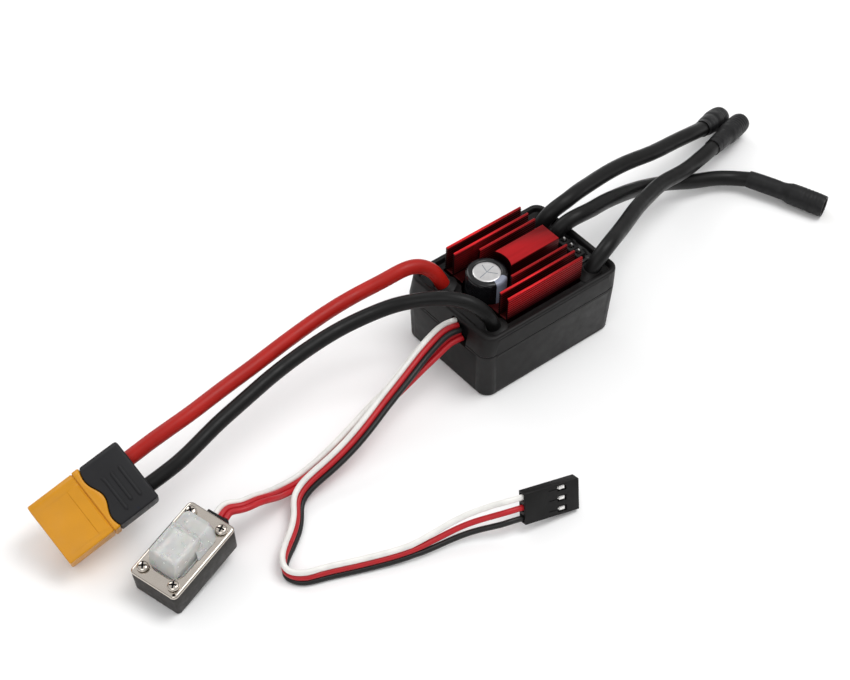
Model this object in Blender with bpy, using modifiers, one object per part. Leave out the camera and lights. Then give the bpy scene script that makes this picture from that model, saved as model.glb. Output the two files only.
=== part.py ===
"""Brushless speed controller: finned case, power lead, motor leads, signal lead and switch box.

Metres, Z up. Origin at the centre of the case underside, +X towards the motor leads, -Y the long label side.
"""
import bpy
import bmesh
import numpy as np
from mathutils import Matrix, Vector

MM = 0.001
GAP = 0.3

# Case, in millimetres like every dimension below
CASE_LENGTH = 41.4
CASE_WIDTH = 29.0
CASE_HEIGHT = 18.9
CASE_FOOT_LENGTH = 39.5
CASE_FOOT_WIDTH = 28.6
CASE_CORNER = 2.8
SEAM_Z = 13.4
BAND_LEAN = 1.1
WALL = 1.6
DECK_TOP = 17.4
DECK_UNDER = 15.8

# Heat sink
SINK_BASE_Z = 14.0
SINK_FLOOR_Z = 18.0
SINK_TOP_Z = 24.7
SINK_X = (-11.3, 11.45)
SINK_Y = (-10.9, 11.2)
POCKET_RADIUS = 5.6
POCKET_CENTRE = (-8.1, 0.3)

# Capacitor
CAN_CENTRE = (-8.0, 0.4)
CAN_RADIUS = 4.95
CAN_TOP = 23.2

# Leads
WIRE_DIAMETER = 3.5
MOTOR_WIRE_DIAMETER = 3.85
CORE_DIAMETER = 1.3
CORE_PITCH = 1.3
PLUG_PITCH = 2.54

# Switch
LEVER_REST = -2.0
BUTTON_X = 4.9

bpy.context.view_layer.update()
for old in list(bpy.data.objects):
    bpy.data.objects.remove(old)

scene = bpy.context.scene
model = bpy.data.collections.new("speed_controller")
helpers = bpy.data.collections.new("cutters")
helpers.hide_render = True
scene.collection.children.link(model)
scene.collection.children.link(helpers)

FINISHES = {
    "case_plastic": ((0.022, 0.020, 0.020), 0.48, 0.0),
    "sink_red": ((0.50, 0.012, 0.018), 0.32, 0.9),
    "can_metal": ((0.72, 0.72, 0.73), 0.28, 1.0),
    "can_film": ((0.015, 0.015, 0.018), 0.22, 0.0),
    "soft_black": ((0.012, 0.012, 0.013), 0.55, 0.0),
    "wire_black": ((0.013, 0.013, 0.014), 0.42, 0.0),
    "wire_red": ((0.55, 0.03, 0.02), 0.42, 0.0),
    "heat_shrink": ((0.016, 0.016, 0.017), 0.6, 0.0),
    "potting": ((0.010, 0.010, 0.010), 0.3, 0.0),
    "ribbon": ((0.72, 0.70, 0.67), 0.45, 0.0),
    "plug_amber": ((0.78, 0.34, 0.02), 0.35, 0.0),
    "sheath_grey": ((0.05, 0.05, 0.057), 0.5, 0.0),
    "plug_black": ((0.014, 0.014, 0.015), 0.42, 0.0),
    "gold": ((0.85, 0.60, 0.22), 0.25, 1.0),
    "contact_steel": ((0.75, 0.75, 0.76), 0.3, 1.0),
    "switch_dark": ((0.035, 0.030, 0.028), 0.5, 0.0),
    "nickel": ((0.62, 0.59, 0.55), 0.3, 1.0),
    "boot_silicone": ((0.62, 0.62, 0.60), 0.4, 0.0),
    "board": ((0.02, 0.11, 0.05), 0.45, 0.0),
    "chip": ((0.02, 0.02, 0.022), 0.4, 0.0),
    "pad_grey": ((0.32, 0.35, 0.38), 0.8, 0.0),
    "knob_white": ((0.75, 0.75, 0.73), 0.4, 0.0),
    "led_clear": ((0.80, 0.82, 0.80), 0.1, 0.0),
}


def finish(name):
    made = bpy.data.materials.get(name)
    if made:
        return made
    colour, roughness, metallic = FINISHES[name]
    made = bpy.data.materials.new(name)
    made.use_nodes = True
    shader = made.node_tree.nodes["Principled BSDF"]
    shader.inputs["Base Color"].default_value = (*colour, 1.0)
    shader.inputs["Roughness"].default_value = roughness
    shader.inputs["Metallic"].default_value = metallic
    return made


def add(name, mesh, look):
    """A new object from a mesh drawn in millimetres; a look of None makes it a cutter."""
    mesh.transform(Matrix.Scale(MM, 4))
    obj = bpy.data.objects.new(name, mesh)
    if look is None:
        helpers.objects.link(obj)
        obj.hide_render = True
        obj.display_type = "WIRE"
        return obj
    model.objects.link(obj)
    mesh.materials.append(finish(look))
    return obj


def from_bmesh(name, bm, look):
    bmesh.ops.recalc_face_normals(bm, faces=bm.faces)
    mesh = bpy.data.meshes.new(name)
    bm.to_mesh(mesh)
    bm.free()
    return add(name, mesh, look)


def block(name, x, y, z, look, corner=0.0, segments=4, foot=(1.0, 1.0), lean=0.0):
    """A box between the given limits, with rounded upright edges; foot scales its underside and lean
    moves the -X side of its top inwards."""
    bm = bmesh.new()
    bmesh.ops.create_cube(bm, size=1.0)
    size = (x[1] - x[0], y[1] - y[0], z[1] - z[0])
    middle = Vector(((x[0] + x[1]) / 2, (y[0] + y[1]) / 2, (z[0] + z[1]) / 2))
    bmesh.ops.scale(bm, vec=size, verts=bm.verts)
    if corner:
        upright = [e for e in bm.edges if abs(e.verts[0].co.z - e.verts[1].co.z) > size[2] / 2]
        bmesh.ops.bevel(bm, geom=upright, offset=corner, segments=segments, profile=0.5,
                        affect="EDGES", clamp_overlap=False)
    for vert in bm.verts:
        if vert.co.z < 0:
            vert.co.x *= foot[0]
            vert.co.y *= foot[1]
        elif vert.co.x < 0:
            vert.co.x += lean
        vert.co += middle
    return from_bmesh(name, bm, look)


def plate(name, outline, z, look):
    """A flat outline in XY, extruded from z[0] to z[1]."""
    bm = bmesh.new()
    face = bm.faces.new([bm.verts.new((px, py, z[0])) for px, py in outline])
    grown = bmesh.ops.extrude_face_region(bm, geom=[face])["geom"]
    top = [g for g in grown if isinstance(g, bmesh.types.BMVert)]
    bmesh.ops.translate(bm, vec=(0, 0, z[1] - z[0]), verts=top)
    return from_bmesh(name, bm, look)


def lathe(name, profile, look, steps=20, closed=False):
    """A round piece about Z from (radius, z) points that run from top to bottom on the outer side."""
    mesh = bpy.data.meshes.new(name)
    points = [(radius, 0.0, z) for radius, z in profile]
    edges = [(i, i + 1) for i in range(len(points) - 1)]
    if closed:
        edges.append((len(points) - 1, 0))
    mesh.from_pydata(points, edges, [])
    obj = add(name, mesh, look)
    turn = obj.modifiers.new("turn", "SCREW")
    turn.axis = "Z"
    turn.steps = steps
    turn.render_steps = steps
    turn.use_merge_vertices = True
    turn.merge_threshold = 0.00001
    turn.use_smooth_shade = look is not None
    return obj


def rod(name, radius, z, look, steps=16):
    return lathe(name, [(0, z[1]), (radius, z[1]), (radius, z[0]), (0, z[0])], look, steps)


def smooth_path(points, count):
    """Evenly spread points on the natural cubic spline through the route points."""
    route = np.array(points, float)
    reach = np.concatenate([[0], np.cumsum(np.linalg.norm(np.diff(route, axis=0), axis=1))])
    span = np.diff(reach)
    size = len(route)
    rows = np.eye(size)
    right = np.zeros((size, 3))
    for i in range(1, size - 1):
        rows[i, i - 1:i + 2] = (span[i - 1], 2 * (span[i - 1] + span[i]), span[i])
        right[i] = 6 * ((route[i + 1] - route[i]) / span[i] - (route[i] - route[i - 1]) / span[i - 1])
    bend = np.linalg.solve(rows, right)
    fine = np.linspace(0, reach[-1], 600)
    at = np.clip(np.searchsorted(reach, fine, "right") - 1, 0, size - 2)
    ahead = (fine - reach[at])[:, None]
    back = (reach[at + 1] - fine)[:, None]
    width = span[at][:, None]
    curve = (bend[at] * back ** 3 + bend[at + 1] * ahead ** 3) / (6 * width)
    curve += (route[at] / width - bend[at] * width / 6) * back
    curve += (route[at + 1] / width - bend[at + 1] * width / 6) * ahead
    run = np.concatenate([[0], np.cumsum(np.linalg.norm(np.diff(curve, axis=0), axis=1))])
    even = np.linspace(0, run[-1], count)
    return np.stack([np.interp(even, run, curve[:, k]) for k in range(3)], axis=1)


def tube(name, points, diameter, look, count=16):
    """A round lead along a smooth path."""
    curve = bpy.data.curves.new(name, "CURVE")
    curve.dimensions = "3D"
    curve.bevel_depth = diameter / 2 * MM
    curve.bevel_resolution = 2
    curve.use_fill_caps = True
    spline = curve.splines.new("POLY")
    path = smooth_path(points, count)
    spline.points.add(len(path) - 1)
    for point, place in zip(spline.points, path):
        point.co = (*(place * MM), 1.0)
    obj = bpy.data.objects.new(name, curve)
    if look is not None:
        model.objects.link(obj)
        curve.materials.append(finish(look))
        return obj
    helpers.objects.link(obj)
    bpy.context.view_layer.update()
    mesh = bpy.data.meshes.new_from_object(obj.evaluated_get(bpy.context.evaluated_depsgraph_get()))
    bpy.data.objects.remove(obj)
    bm = bmesh.new()
    bm.from_mesh(mesh)
    bmesh.ops.remove_doubles(bm, verts=bm.verts, dist=0.000001)
    bmesh.ops.scale(bm, vec=(1 / MM, 1 / MM, 1 / MM), verts=bm.verts)
    return from_bmesh(name, bm, None)


def combine(obj, other, operation):
    step = obj.modifiers.new(other.name, "BOOLEAN")
    step.operation = operation
    step.solver = "EXACT"
    step.object = other


def cut(obj, *others):
    for other in others:
        combine(obj, other, "DIFFERENCE")


def grow(obj, *others):
    for other in others:
        combine(obj, other, "UNION")


def frame_at(origin, along, up):
    """A placement whose X runs along the first direction and whose Z leans towards the second."""
    x = Vector(along).normalized()
    y = Vector(up).cross(x).normalized()
    z = x.cross(y)
    place = Matrix((x, y, z)).transposed().to_4x4()
    place.translation = Vector(origin) * MM
    return place


def seat(frame, *objects):
    for obj in objects:
        obj.matrix_world = frame @ obj.matrix_world


def moved(x, y, z):
    return Matrix.Translation(Vector((x, y, z)) * MM)


def turned(axis):
    return Matrix.Rotation(np.pi / 2, 4, axis)


def spot(frame, x, y, z):
    """A point of a placement, in millimetres."""
    return tuple(frame @ (Vector((x, y, z)) * MM) / MM)


# Placements of the pieces on the leads
plug_frame = frame_at((-123.4, 7.9, 7.05), (0.949, -0.060, 0.303), (-0.296, -0.457, 0.84))
servo_frame = frame_at((-31.24, -48.81, 4.85), (0.971, -0.2, -0.129), (0.184, 0.342, 0.921))
switch_frame = frame_at((-102.88, -12.79, 2.13), (0.9514, 0.2482, 0.1822), (-0.1662, -0.0845, 0.9825))

# Lead routes
red_route = [
    (-13.3, 6.0, 12.2), (-14.1, 6.7, 15.0), (-15.4, 7.8, 18.7), (-16.8, 9.2, 21.7), (-19.7, 10.9, 23.7),
    (-23.8, 11.8, 24.2), (-27.6, 12.5, 23.4), (-35.3, 13.8, 22.0), (-42.3, 14.0, 21.5), (-50.4, 13.4, 21.2),
    (-59.0, 12.3, 21.0), (-68.1, 11.0, 20.8), (-77.0, 10.0, 20.4), (-85.5, 9.2, 19.6),
    spot(plug_frame, 30.0, 3.6, 0.0), spot(plug_frame, 23.4, 3.6, 0.0), spot(plug_frame, 19.3, 3.6, 0.0),
]
black_route = [
    (-13.9, -10.2, 11.8), (-14.1, -10.2, 15.0), (-14.9, -9.6, 18.8), (-16.4, -7.9, 22.0), (-18.9, -5.2, 24.2),
    (-22.3, -1.8, 24.8), (-26.5, 2.0, 23.9), (-30.6, 4.8, 22.9), (-37.0, 7.0, 21.9), (-44.0, 8.2, 21.1),
    (-51.3, 8.5, 20.4), (-58.6, 8.1, 19.8), (-66.0, 7.2, 19.2), (-73.5, 6.0, 18.4), (-82.0, 4.7, 17.2),
    spot(plug_frame, 31.0, -3.6, 0.0), spot(plug_frame, 23.4, -3.6, 0.0), spot(plug_frame, 19.3, -3.6, 0.0),
]
motor_routes = {
    "a": [
        (14.6, 8.6, 11.8), (14.9, 8.5, 14.5), (16.0, 8.2, 18.2), (18.4, 7.6, 21.3), (22.1, 7.2, 22.8),
        (26.6, 8.0, 22.6), (31.5, 9.3, 21.4), (39.7, 11.2, 19.5), (49.0, 12.6, 17.3), (58.0, 13.4, 14.9),
        (66.8, 14.8, 12.6), (74.6, 16.0, 10.5), (80.4, 17.3, 8.4),
    ],
    "b": [
        (14.5, 3.9, 11.8), (14.8, 3.8, 14.5), (15.9, 3.4, 18.2), (18.5, 2.9, 20.9), (22.0, 2.5, 21.7),
        (26.5, 3.0, 20.7), (31.9, 4.3, 19.0), (38.8, 5.8, 16.5), (46.4, 7.5, 13.1), (53.7, 8.5, 9.8),
        (61.2, 8.4, 6.7), (68.1, 6.9, 4.5), (74.3, 5.0, 3.4), (78.4, 2.0, 3.2), (80.4, -0.6, 3.6),
    ],
    "c": [
        (14.0, -10.7, 11.8), (14.2, -10.7, 14.5), (14.9, -10.7, 18.0), (17.0, -10.7, 21.0),
        (20.6, -9.9, 22.4), (25.0, -8.0, 21.6), (31.4, -4.9, 19.9), (39.0, -1.1, 17.8), (46.5, 2.1, 15.6),
        (53.9, 4.7, 13.5), (60.8, 6.1, 11.5), (68.5, 8.2, 9.4), (75.0, 10.0, 8.3), (78.2, 11.1, 7.5),
    ],
}
sleeve_ends = {"a": (92.4, 22.2, 2.95), "b": (88.5, -19.0, 2.95), "c": (94.4, 16.7, 3.6)}
signal_route = [
    ((-19.6, -3.5, 16.0), (0.0, 0.90, 0.43)), ((-22.8, -3.0, 16.0), (-0.2, 0.90, 0.42)),
    ((-26.3, -3.2, 15.2), (-0.3, 0.85, 0.41)), ((-31.0, -4.1, 13.9), (-0.34, 0.85, 0.41)),
    ((-38.0, -6.0, 12.1), (-0.34, 0.85, 0.41)), ((-45.0, -7.8, 10.2), (-0.30, 0.82, 0.46)),
    ((-51.5, -9.6, 8.5), (-0.25, 0.82, 0.50)), ((-58.0, -11.0, 6.9), (-0.2, 0.80, 0.54)),
    ((-65.0, -11.7, 5.2), (-0.2, 0.75, 0.60)), ((-70.0, -12.1, 3.9), (-0.3, 0.65, 0.68)),
    ((-73.5, -13.5, 2.8), (-0.4, 0.5, 0.77)), ((-75.8, -16.2, 2.1), (-0.45, 0.38, 0.80)),
    ((-78.2, -18.7, 1.9), (-0.43, 0.38, 0.81)), ((-82.0, -21.5, 1.9), (-0.4, 0.35, 0.85)),
    ((-85.6, -24.3, 1.95), (-0.2, 0.2, 0.96)), ((-87.3, -27.6, 2.0), (0.0, 0.0, 1.0)),
    ((-85.6, -30.5, 2.0), (0.15, 0.15, 0.97)), ((-82.0, -32.1, 1.95), (0.24, 0.28, 0.93)),
    ((-76.0, -34.5, 1.95), (0.24, 0.28, 0.93)), ((-69.0, -37.4, 2.1), (0.20, 0.30, 0.93)),
    ((-62.0, -39.8, 2.5), (0.20, 0.32, 0.92)), ((-55.0, -41.2, 3.3), (0.20, 0.33, 0.92)),
    ((-49.5, -42.6, 4.2), (0.20, 0.34, 0.92)), ((-45.0, -44.7, 5.2), (0.20, 0.34, 0.92)),
    (spot(servo_frame, -10.0, 0.0, 0.0), (0.184, 0.342, 0.921)),
    (spot(servo_frame, -7.0, 0.0, 0.0), (0.184, 0.342, 0.921)),
    (spot(servo_frame, -5.6, 0.0, 0.0), (0.184, 0.342, 0.921)),
]
switch_route = [
    ((-19.6, -4.3, 14.1), (0.0, 0.90, 0.43)), ((-22.8, -3.8, 13.7), (-0.1, 0.90, 0.43)),
    ((-26.5, -4.0, 12.7), (-0.2, 0.87, 0.45)), ((-31.0, -4.5, 11.6), (-0.2, 0.87, 0.45)),
    ((-38.0, -5.3, 9.8), (-0.2, 0.85, 0.48)), ((-45.0, -6.1, 8.1), (-0.1, 0.85, 0.50)),
    ((-52.0, -7.3, 6.4), (-0.1, 0.82, 0.52)), ((-59.0, -8.5, 4.8), (-0.1, 0.85, 0.45)),
    ((-65.5, -9.1, 3.4), (0.0, 0.92, 0.35)), ((-70.5, -9.3, 2.9), (0.0, 0.97, 0.15)),
    ((-74.8, -9.8, 3.9), (0.1, 0.95, 0.0)), ((-79.7, -11.2, 6.8), (0.1, 0.95, -0.15)),
    ((-84.1, -11.7, 8.9), (0.0, 0.97, -0.1)), ((-87.9, -11.6, 9.8), (-0.15, 0.97, 0.0)),
    (spot(switch_frame, 14.0, -0.9, 5.25), (-0.259, 0.965, 0.039)),
    (spot(switch_frame, 11.5, -0.9, 5.2), (-0.259, 0.965, 0.039)),
]


def ribbon(name, route, look, count, split_from=None):
    """Three fused cores side by side; past the split each core runs free, opening out to the plug pitch."""
    middle = smooth_path([place for place, _ in route], count)
    keys = np.array([place for place, _ in route], float)
    leans = np.array([lean for _, lean in route], float)
    reach = np.concatenate([[0], np.cumsum(np.linalg.norm(np.diff(keys, axis=0), axis=1))])
    even = np.linspace(0, reach[-1], count)
    across = np.stack([np.interp(even, reach, leans[:, k]) for k in range(3)], axis=1)
    along = np.gradient(middle, axis=0)
    along /= np.linalg.norm(along, axis=1)[:, None]
    across -= along * (across * along).sum(axis=1)[:, None]
    across /= np.linalg.norm(across, axis=1)[:, None]
    facing = np.cross(along, across)
    angles = np.radians([157.5, 112.5, 67.5, 22.5, -22.5, -67.5, -112.5, -157.5])
    radius = CORE_DIAMETER / 2
    flat = radius * np.cos(np.radians(22.5))
    mesh_points = []
    rings = []
    for i in range(count):
        free = split_from is not None and i > split_from
        opened = (i - split_from) / max(1, count - 4 - split_from) if free else 0.0
        pitch = CORE_PITCH + (PLUG_PITCH - CORE_PITCH) * min(1.0, opened) ** 0.8
        ring = []
        for core in (-1, 0, 1):
            loop = []
            for k, angle in enumerate(angles):
                side = radius * np.cos(angle)
                if not free:
                    side = np.sign(side) * CORE_PITCH / 2 if abs(side) > flat - 0.01 else side
                rise = radius * np.sin(angle)
                shared = core > -1 and not free and k in (0, 7)
                if shared:
                    loop.append(ring[-1][3] if k == 0 else ring[-1][4])
                    continue
                place = middle[i] + across[i] * (core * pitch + side) + facing[i] * rise
                loop.append(len(mesh_points))
                mesh_points.append(tuple(place))
            ring.append(loop)
        rings.append(ring)
    faces = []
    for i in range(count - 1):
        fused = split_from is None or i < split_from
        for core in range(3):
            near = rings[i][core]
            far = rings[i + 1][core]
            for k in range(8):
                after = (k + 1) % 8
                if fused and ((k == 3 and core < 2) or (k == 7 and core > 0)):
                    continue
                faces.append((near[k], near[after], far[after], far[k]))
    for core in range(3):
        faces.append(tuple(reversed(rings[0][core])))
        faces.append(tuple(rings[-1][core]))
    mesh = bpy.data.meshes.new(name)
    mesh.from_pydata(mesh_points, [], faces)
    bm = bmesh.new()
    bm.from_mesh(mesh)
    return from_bmesh(name, bm, look)


# Case tub
half_length = CASE_LENGTH / 2
half_width = CASE_WIDTH / 2
tub = block("case_tub", (-half_length, half_length), (-half_width, half_width), (0, SEAM_Z - GAP / 2),
            "case_plastic", CASE_CORNER, 5,
            foot=(CASE_FOOT_LENGTH / CASE_LENGTH, CASE_FOOT_WIDTH / CASE_WIDTH))
tub_hollow = block("cut_tub", (-18.1, 18.1), (-12.7, 12.7), (WALL, 16.0), None, 1.2, 3)
cut(tub, tub_hollow)
for number, (px, py) in enumerate([(-15.8, -10.6), (-15.8, 10.6), (15.8, -10.6), (15.8, 10.6)]):
    grow(tub, rod("post_%d" % number, 1.5, (WALL - 0.5, 9.3), None, 10))
    bpy.data.objects["post_%d" % number].matrix_world = moved(px, py, 0)
grow(tub, block("rail_left", (-9.5, -7.5), (-8.5, 8.5), (WALL - 0.5, 3.7), None))
grow(tub, block("rail_right", (7.5, 9.5), (-8.5, 8.5), (WALL - 0.5, 3.7), None))

# Case cover
cover = block("case_cover", (-half_length, half_length), (-half_width, half_width),
              (SEAM_Z + GAP / 2, CASE_HEIGHT), "case_plastic", CASE_CORNER, 5, lean=BAND_LEAN)

cut(cover,
    block("cut_rim", (-18.3, 19.4), (-13.2, 13.2), (DECK_TOP, 21.0), None, 1.6, 4),
    block("cut_under", (-19.0, 19.0), (-12.9, 12.9), (12.0, DECK_UNDER), None, 1.4, 3),
    block("cut_window", (-11.7, 11.85), (-11.3, 11.6), (12.5, 20.0), None),
    rod("cut_can", 5.65, (12.4, 20.1), None, 24),
    block("cut_motor", (13.0, 18.6), (-7.2, 10.9), (12.6, 20.2), None),
    block("cut_ribbon_slot", (-23.0, -17.4), (-7.5, -1.6), (12.6, 17.9), None))
cut(tub, bpy.data.objects["cut_ribbon_slot"])
bpy.data.objects["cut_can"].matrix_world = moved(*CAN_CENTRE, 0)
cut(cover,
    tube("cut_red", red_route[:4], WIRE_DIAMETER + 0.6, None, 8),
    tube("cut_black", black_route[:4], WIRE_DIAMETER + 0.6, None, 8),
    tube("cut_c", motor_routes["c"][:4], MOTOR_WIRE_DIAMETER + 0.6, None, 8))

# Potting round the motor leads, and the grommet in the ribbon slot
potting = block("motor_potting", (13.3, 18.3), (-6.9, 10.6), (14.9, 17.9), "potting")
cut(potting,
    tube("cut_a", motor_routes["a"][:4], MOTOR_WIRE_DIAMETER + 0.6, None, 8),
    tube("cut_b", motor_routes["b"][:4], MOTOR_WIRE_DIAMETER + 0.6, None, 8),
    block("cut_port", (14.3, 17.4), (-6.5, 1.42), (12.0, 20.3), None))
block("ribbon_grommet", (-19.3, -17.7), (-7.2, -1.9), (13.9, 17.6), "soft_black")

# Three-pin port
port = block("port_housing", (14.6, 17.1), (-6.2, 1.12), (14.6, 19.3), "plug_black")
for number, py in enumerate([-5.08, -2.54, 0.0]):
    cut(port, block("cut_pin_%d" % number, (15.25, 16.45), (py - 0.6, py + 0.6), (13.0, 20.0), None))
    block("port_pin_%d" % (number + 1), (15.53, 16.17), (py - 0.32, py + 0.32), (11.5, 20.3), "gold")

# Heat sink
sink = block("heat_sink", SINK_X, SINK_Y, (SINK_BASE_Z, SINK_TOP_Z), "sink_red")
for number, (x0, y0, y1) in enumerate([
        (-13.0, 8.6, 10.6), (-13.0, 3.2, 5.5), (-5.7, 6.1, 8.0), (-5.7, -5.05, -2.7),
        (-13.0, -7.7, -5.65), (-13.0, -10.3, -8.3)]):
    cut(sink, block("channel_%d" % number, (x0, 13.0), (y0, y1), (SINK_FLOOR_Z, 27.0), None))
cut(sink,
    block("channel_6", (-13.5, -5.7), (5.2, 8.0), (SINK_FLOOR_Z, 27.5), None),
    block("channel_7", (-13.5, -5.7), (-6.0, -2.7), (SINK_FLOOR_Z, 27.5), None),
    rod("pocket", POCKET_RADIUS, (12.0, 28.0), None, 28))
bpy.data.objects["pocket"].matrix_world = moved(*POCKET_CENTRE, 0)
block("thermal_pad", (-1.5, 11.0), (-10.5, 10.8), (13.0, 13.7), "pad_grey")

# Boards and chips
upper = block("power_board", (-17.6, 17.6), (-12.3, 12.3), (9.6, 11.2), "board", 1.2, 3)
cut(upper, rod("cut_board", 5.4, (8.0, 13.0), None, 20))
bpy.data.objects["cut_board"].matrix_world = moved(*CAN_CENTRE, 0)
for name, py in (("a", 7.9), ("b", 0.2), ("c", -7.5)):
    block("power_stage_" + name, (0.5, 9.5), (py - 2.9, py + 2.9), (11.5, 12.7), "chip")
block("control_board", (-13.0, 13.0), (-9.6, 9.6), (4.0, 5.2), "board", 1.0, 2)
block("processor", (2.5, 9.5), (-3.5, 3.5), (5.5, 6.5), "chip")
block("gate_driver", (-1.0, 4.0), (5.0, 9.0), (5.5, 6.5), "chip")
block("regulator", (3.0, 9.5), (-9.2, -4.0), (5.5, 7.8), "chip")

# Capacitor
can_sleeve = lathe("capacitor_sleeve", [
    (3.4, CAN_TOP), (4.6, CAN_TOP), (CAN_RADIUS, CAN_TOP - 0.35), (CAN_RADIUS, 7.8), (4.6, 7.8),
    (4.6, CAN_TOP - 0.3), (3.4, CAN_TOP - 0.3)], "can_film", 28, closed=True)
can = lathe("capacitor_can", [
    (0, CAN_TOP - 0.15), (3.1, CAN_TOP - 0.15), (3.1, CAN_TOP - 0.6), (4.3, CAN_TOP - 0.6), (4.3, 8.4),
    (0, 8.4)], "can_metal", 28)
bung = lathe("capacitor_bung", [(0, 8.1), (4.1, 8.1), (4.1, 7.0), (0, 7.0)], "soft_black", 20)
for number, px in enumerate([-1.75, 1.75]):
    grow(bung, rod("lead_%d" % number, 0.4, (5.5, 7.5), None, 8))
    bpy.data.objects["lead_%d" % number].matrix_world = moved(px + CAN_CENTRE[0], CAN_CENTRE[1], 0)
seat(moved(*CAN_CENTRE, 0), can_sleeve, can, bung)

# Power plug: X from the mouth towards the leads, +Y the positive side
wave = [(13.4, -8.0), (12.9, -6.4), (12.7, -4.9), (13.1, -3.3), (13.9, -1.6), (14.2, 0.0), (13.8, 1.6),
        (13.1, 3.2), (12.8, 4.8), (13.0, 6.4), (13.5, 8.0)]
body = plate("plug_body", [(0.0, -8.0)] + wave + [(0.0, 8.0)], (-4.05, 4.05), "plug_amber")
sheath = plate("plug_sheath", [(23.4, 7.2), (22.6, 8.0)] + [(px + GAP, py) for px, py in reversed(wave)]
               + [(22.6, -8.0), (23.4, -7.2)], (-4.05, 4.05), "sheath_grey")
key_up = plate("cut_key_up", [(6.2, 4.8), (8.8, 4.8), (8.8, 2.2)], (-2.0, 26.0), None)
key_down = plate("cut_key_down", [(6.2, -4.8), (8.8, -2.2), (8.8, -4.8)], (-2.0, 26.0), None)
upright = Matrix(((0, 0, 1, 0), (1, 0, 0, 0), (0, 1, 0, 0), (0, 0, 0, 1)))
mouth = block("cut_mouth", (-1.0, 9.5), (-6.7, 6.7), (-2.85, 2.85), None)
hollow = block("cut_sheath", (10.0, 22.2), (-6.9, 6.9), (-3.05, 3.05), None)
plug_set = [body, sheath, key_up, key_down, mouth, hollow]
key_up.matrix_world = upright
key_down.matrix_world = upright
cut(body, key_up, key_down, mouth)
cut(sheath, key_up, key_down, hollow)
for name, py in (("positive", 3.6), ("negative", -3.6)):
    bore = rod("cut_bore_" + name, 2.05, (8.0, 15.5), None, 16)
    entry = rod("cut_entry_" + name, 2.05, (21.0, 25.0), None, 16)
    pin = lathe("plug_pin_" + name, [(0, 19.0), (2.3, 19.0), (2.3, 14.8), (1.75, 14.6), (1.75, 2.2),
                                     (1.2, 1.6), (0, 1.6)], "gold", 16)
    for piece in (bore, entry, pin):
        piece.matrix_world = moved(0, py, 0) @ turned("Y")
    cut(body, bore)
    cut(sheath, entry)
    plug_set += [bore, entry, pin]
seat(plug_frame, *plug_set)

# Servo plug: X towards its mouth, -Y the side with the windows
servo = block("servo_plug", (-7.0, 7.0), (-1.27, 1.27), (-3.8, 3.8), "plug_black")
servo_set = [servo]
for number, pz in enumerate([2.54, 0.0, -2.54]):
    tunnel = block("cut_cell_%d" % number, (-8.0, 6.0), (-0.87, 0.87), (pz - 0.87, pz + 0.87), None)
    nose = block("cut_nose_%d" % number, (4.0, 8.0), (-0.45, 0.45), (pz - 0.45, pz + 0.45), None)
    window = block("cut_window_%d" % number, (1.4, 3.6), (-2.0, 0.2), (pz - 0.6, pz + 0.9), None)
    contact = block("servo_contact_%d" % (number + 1), (-5.2, 5.7), (-0.55, 0.55), (pz - 0.55, pz + 0.55),
                    "contact_steel")
    cut(servo, tunnel, nose, window)
    servo_set += [tunnel, nose, window, contact]
seat(servo_frame, *servo_set)

# Switch box: X towards its lead, which holds that end off the table
base = block("switch_base", (-10.3, 10.3), (-6.2, 6.2), (0, 6.45), "switch_dark", 0.9, 2, foot=(0.985, 0.985))
base_hollow = block("cut_base", (-7.9, 7.9), (-4.8, 4.8), (3.25, 8.0), None, 2.5, 1)
base_slot = block("cut_base_slot", (6.8, 13.0), (-3.15, 2.1), (3.8, 8.5), None)
cut(base, base_hollow, base_slot)
cap_plate = block("switch_plate", (-10.45, 10.45), (-6.3, 6.3), (6.75, 7.35), "nickel", 1.1, 3)
plate_window = block("cut_plate", (-7.1, 7.6), (-4.3, 4.3), (6.0, 8.0), None, 2.0, 1)
cut(cap_plate, plate_window)
switch_set = [base, base_hollow, base_slot, cap_plate, plate_window]
for number, (px, py) in enumerate([(-8.1, -4.15), (8.1, -4.15), (8.1, 4.15), (-8.1, 4.15)]):
    hole = rod("cut_screw_%d" % number, 0.95, (3.65, 9.0), None, 10)
    screw = lathe("switch_screw_%d" % (number + 1), [
        (0, 8.4), (0.7, 8.35), (1.2, 8.0), (1.25, 7.65), (0.65, 7.65), (0.65, 4.05), (0, 4.05)], "nickel", 14)
    cross_x = block("cut_cross_x_%d" % number, (-0.75, 0.75), (-0.14, 0.14), (8.0, 9.0), None)
    cross_y = block("cut_cross_y_%d" % number, (-0.14, 0.14), (-0.75, 0.75), (8.0, 9.1), None)
    for piece in (hole, screw, cross_x, cross_y):
        piece.matrix_world = moved(px, py, 0)
    cut(base, hole)
    cut(cap_plate, hole)
    cut(screw, cross_x, cross_y)
    switch_set += [hole, screw, cross_x, cross_y]
gland = block("switch_gland", (8.1, 11.1), (-3.0, 1.85), (4.1, 6.3), "soft_black")
circuit = block("switch_board", (-7.5, 7.5), (-4.5, 4.5), (3.55, 4.15), "board", 2.2, 1)
slider = block("slide_switch", (-4.9, 1.8), (-2.3, 2.3), (4.45, 6.85), "contact_steel")
slider_slot = block("cut_slider", (-3.3, 1.3), (-1.0, 1.0), (5.25, 8.0), None)
cut(slider, slider_slot)
push = block("button_body", (3.0, 6.8), (-2.1, 2.1), (4.45, 5.95), "plug_black")
push_hole = rod("cut_push", 1.4, (4.95, 8.0), None, 16)
push_hole.matrix_world = moved(BUTTON_X, 0, 0)
cut(push, push_hole)
lamp = block("status_led", (2.1, 2.8), (-0.8, 0.8), (4.45, 5.15), "led_clear")
boot = block("switch_boot", (-7.7, 7.7), (-4.55, 4.55), (5.85, 6.45), "boot_silicone", 2.4, 1)
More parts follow.
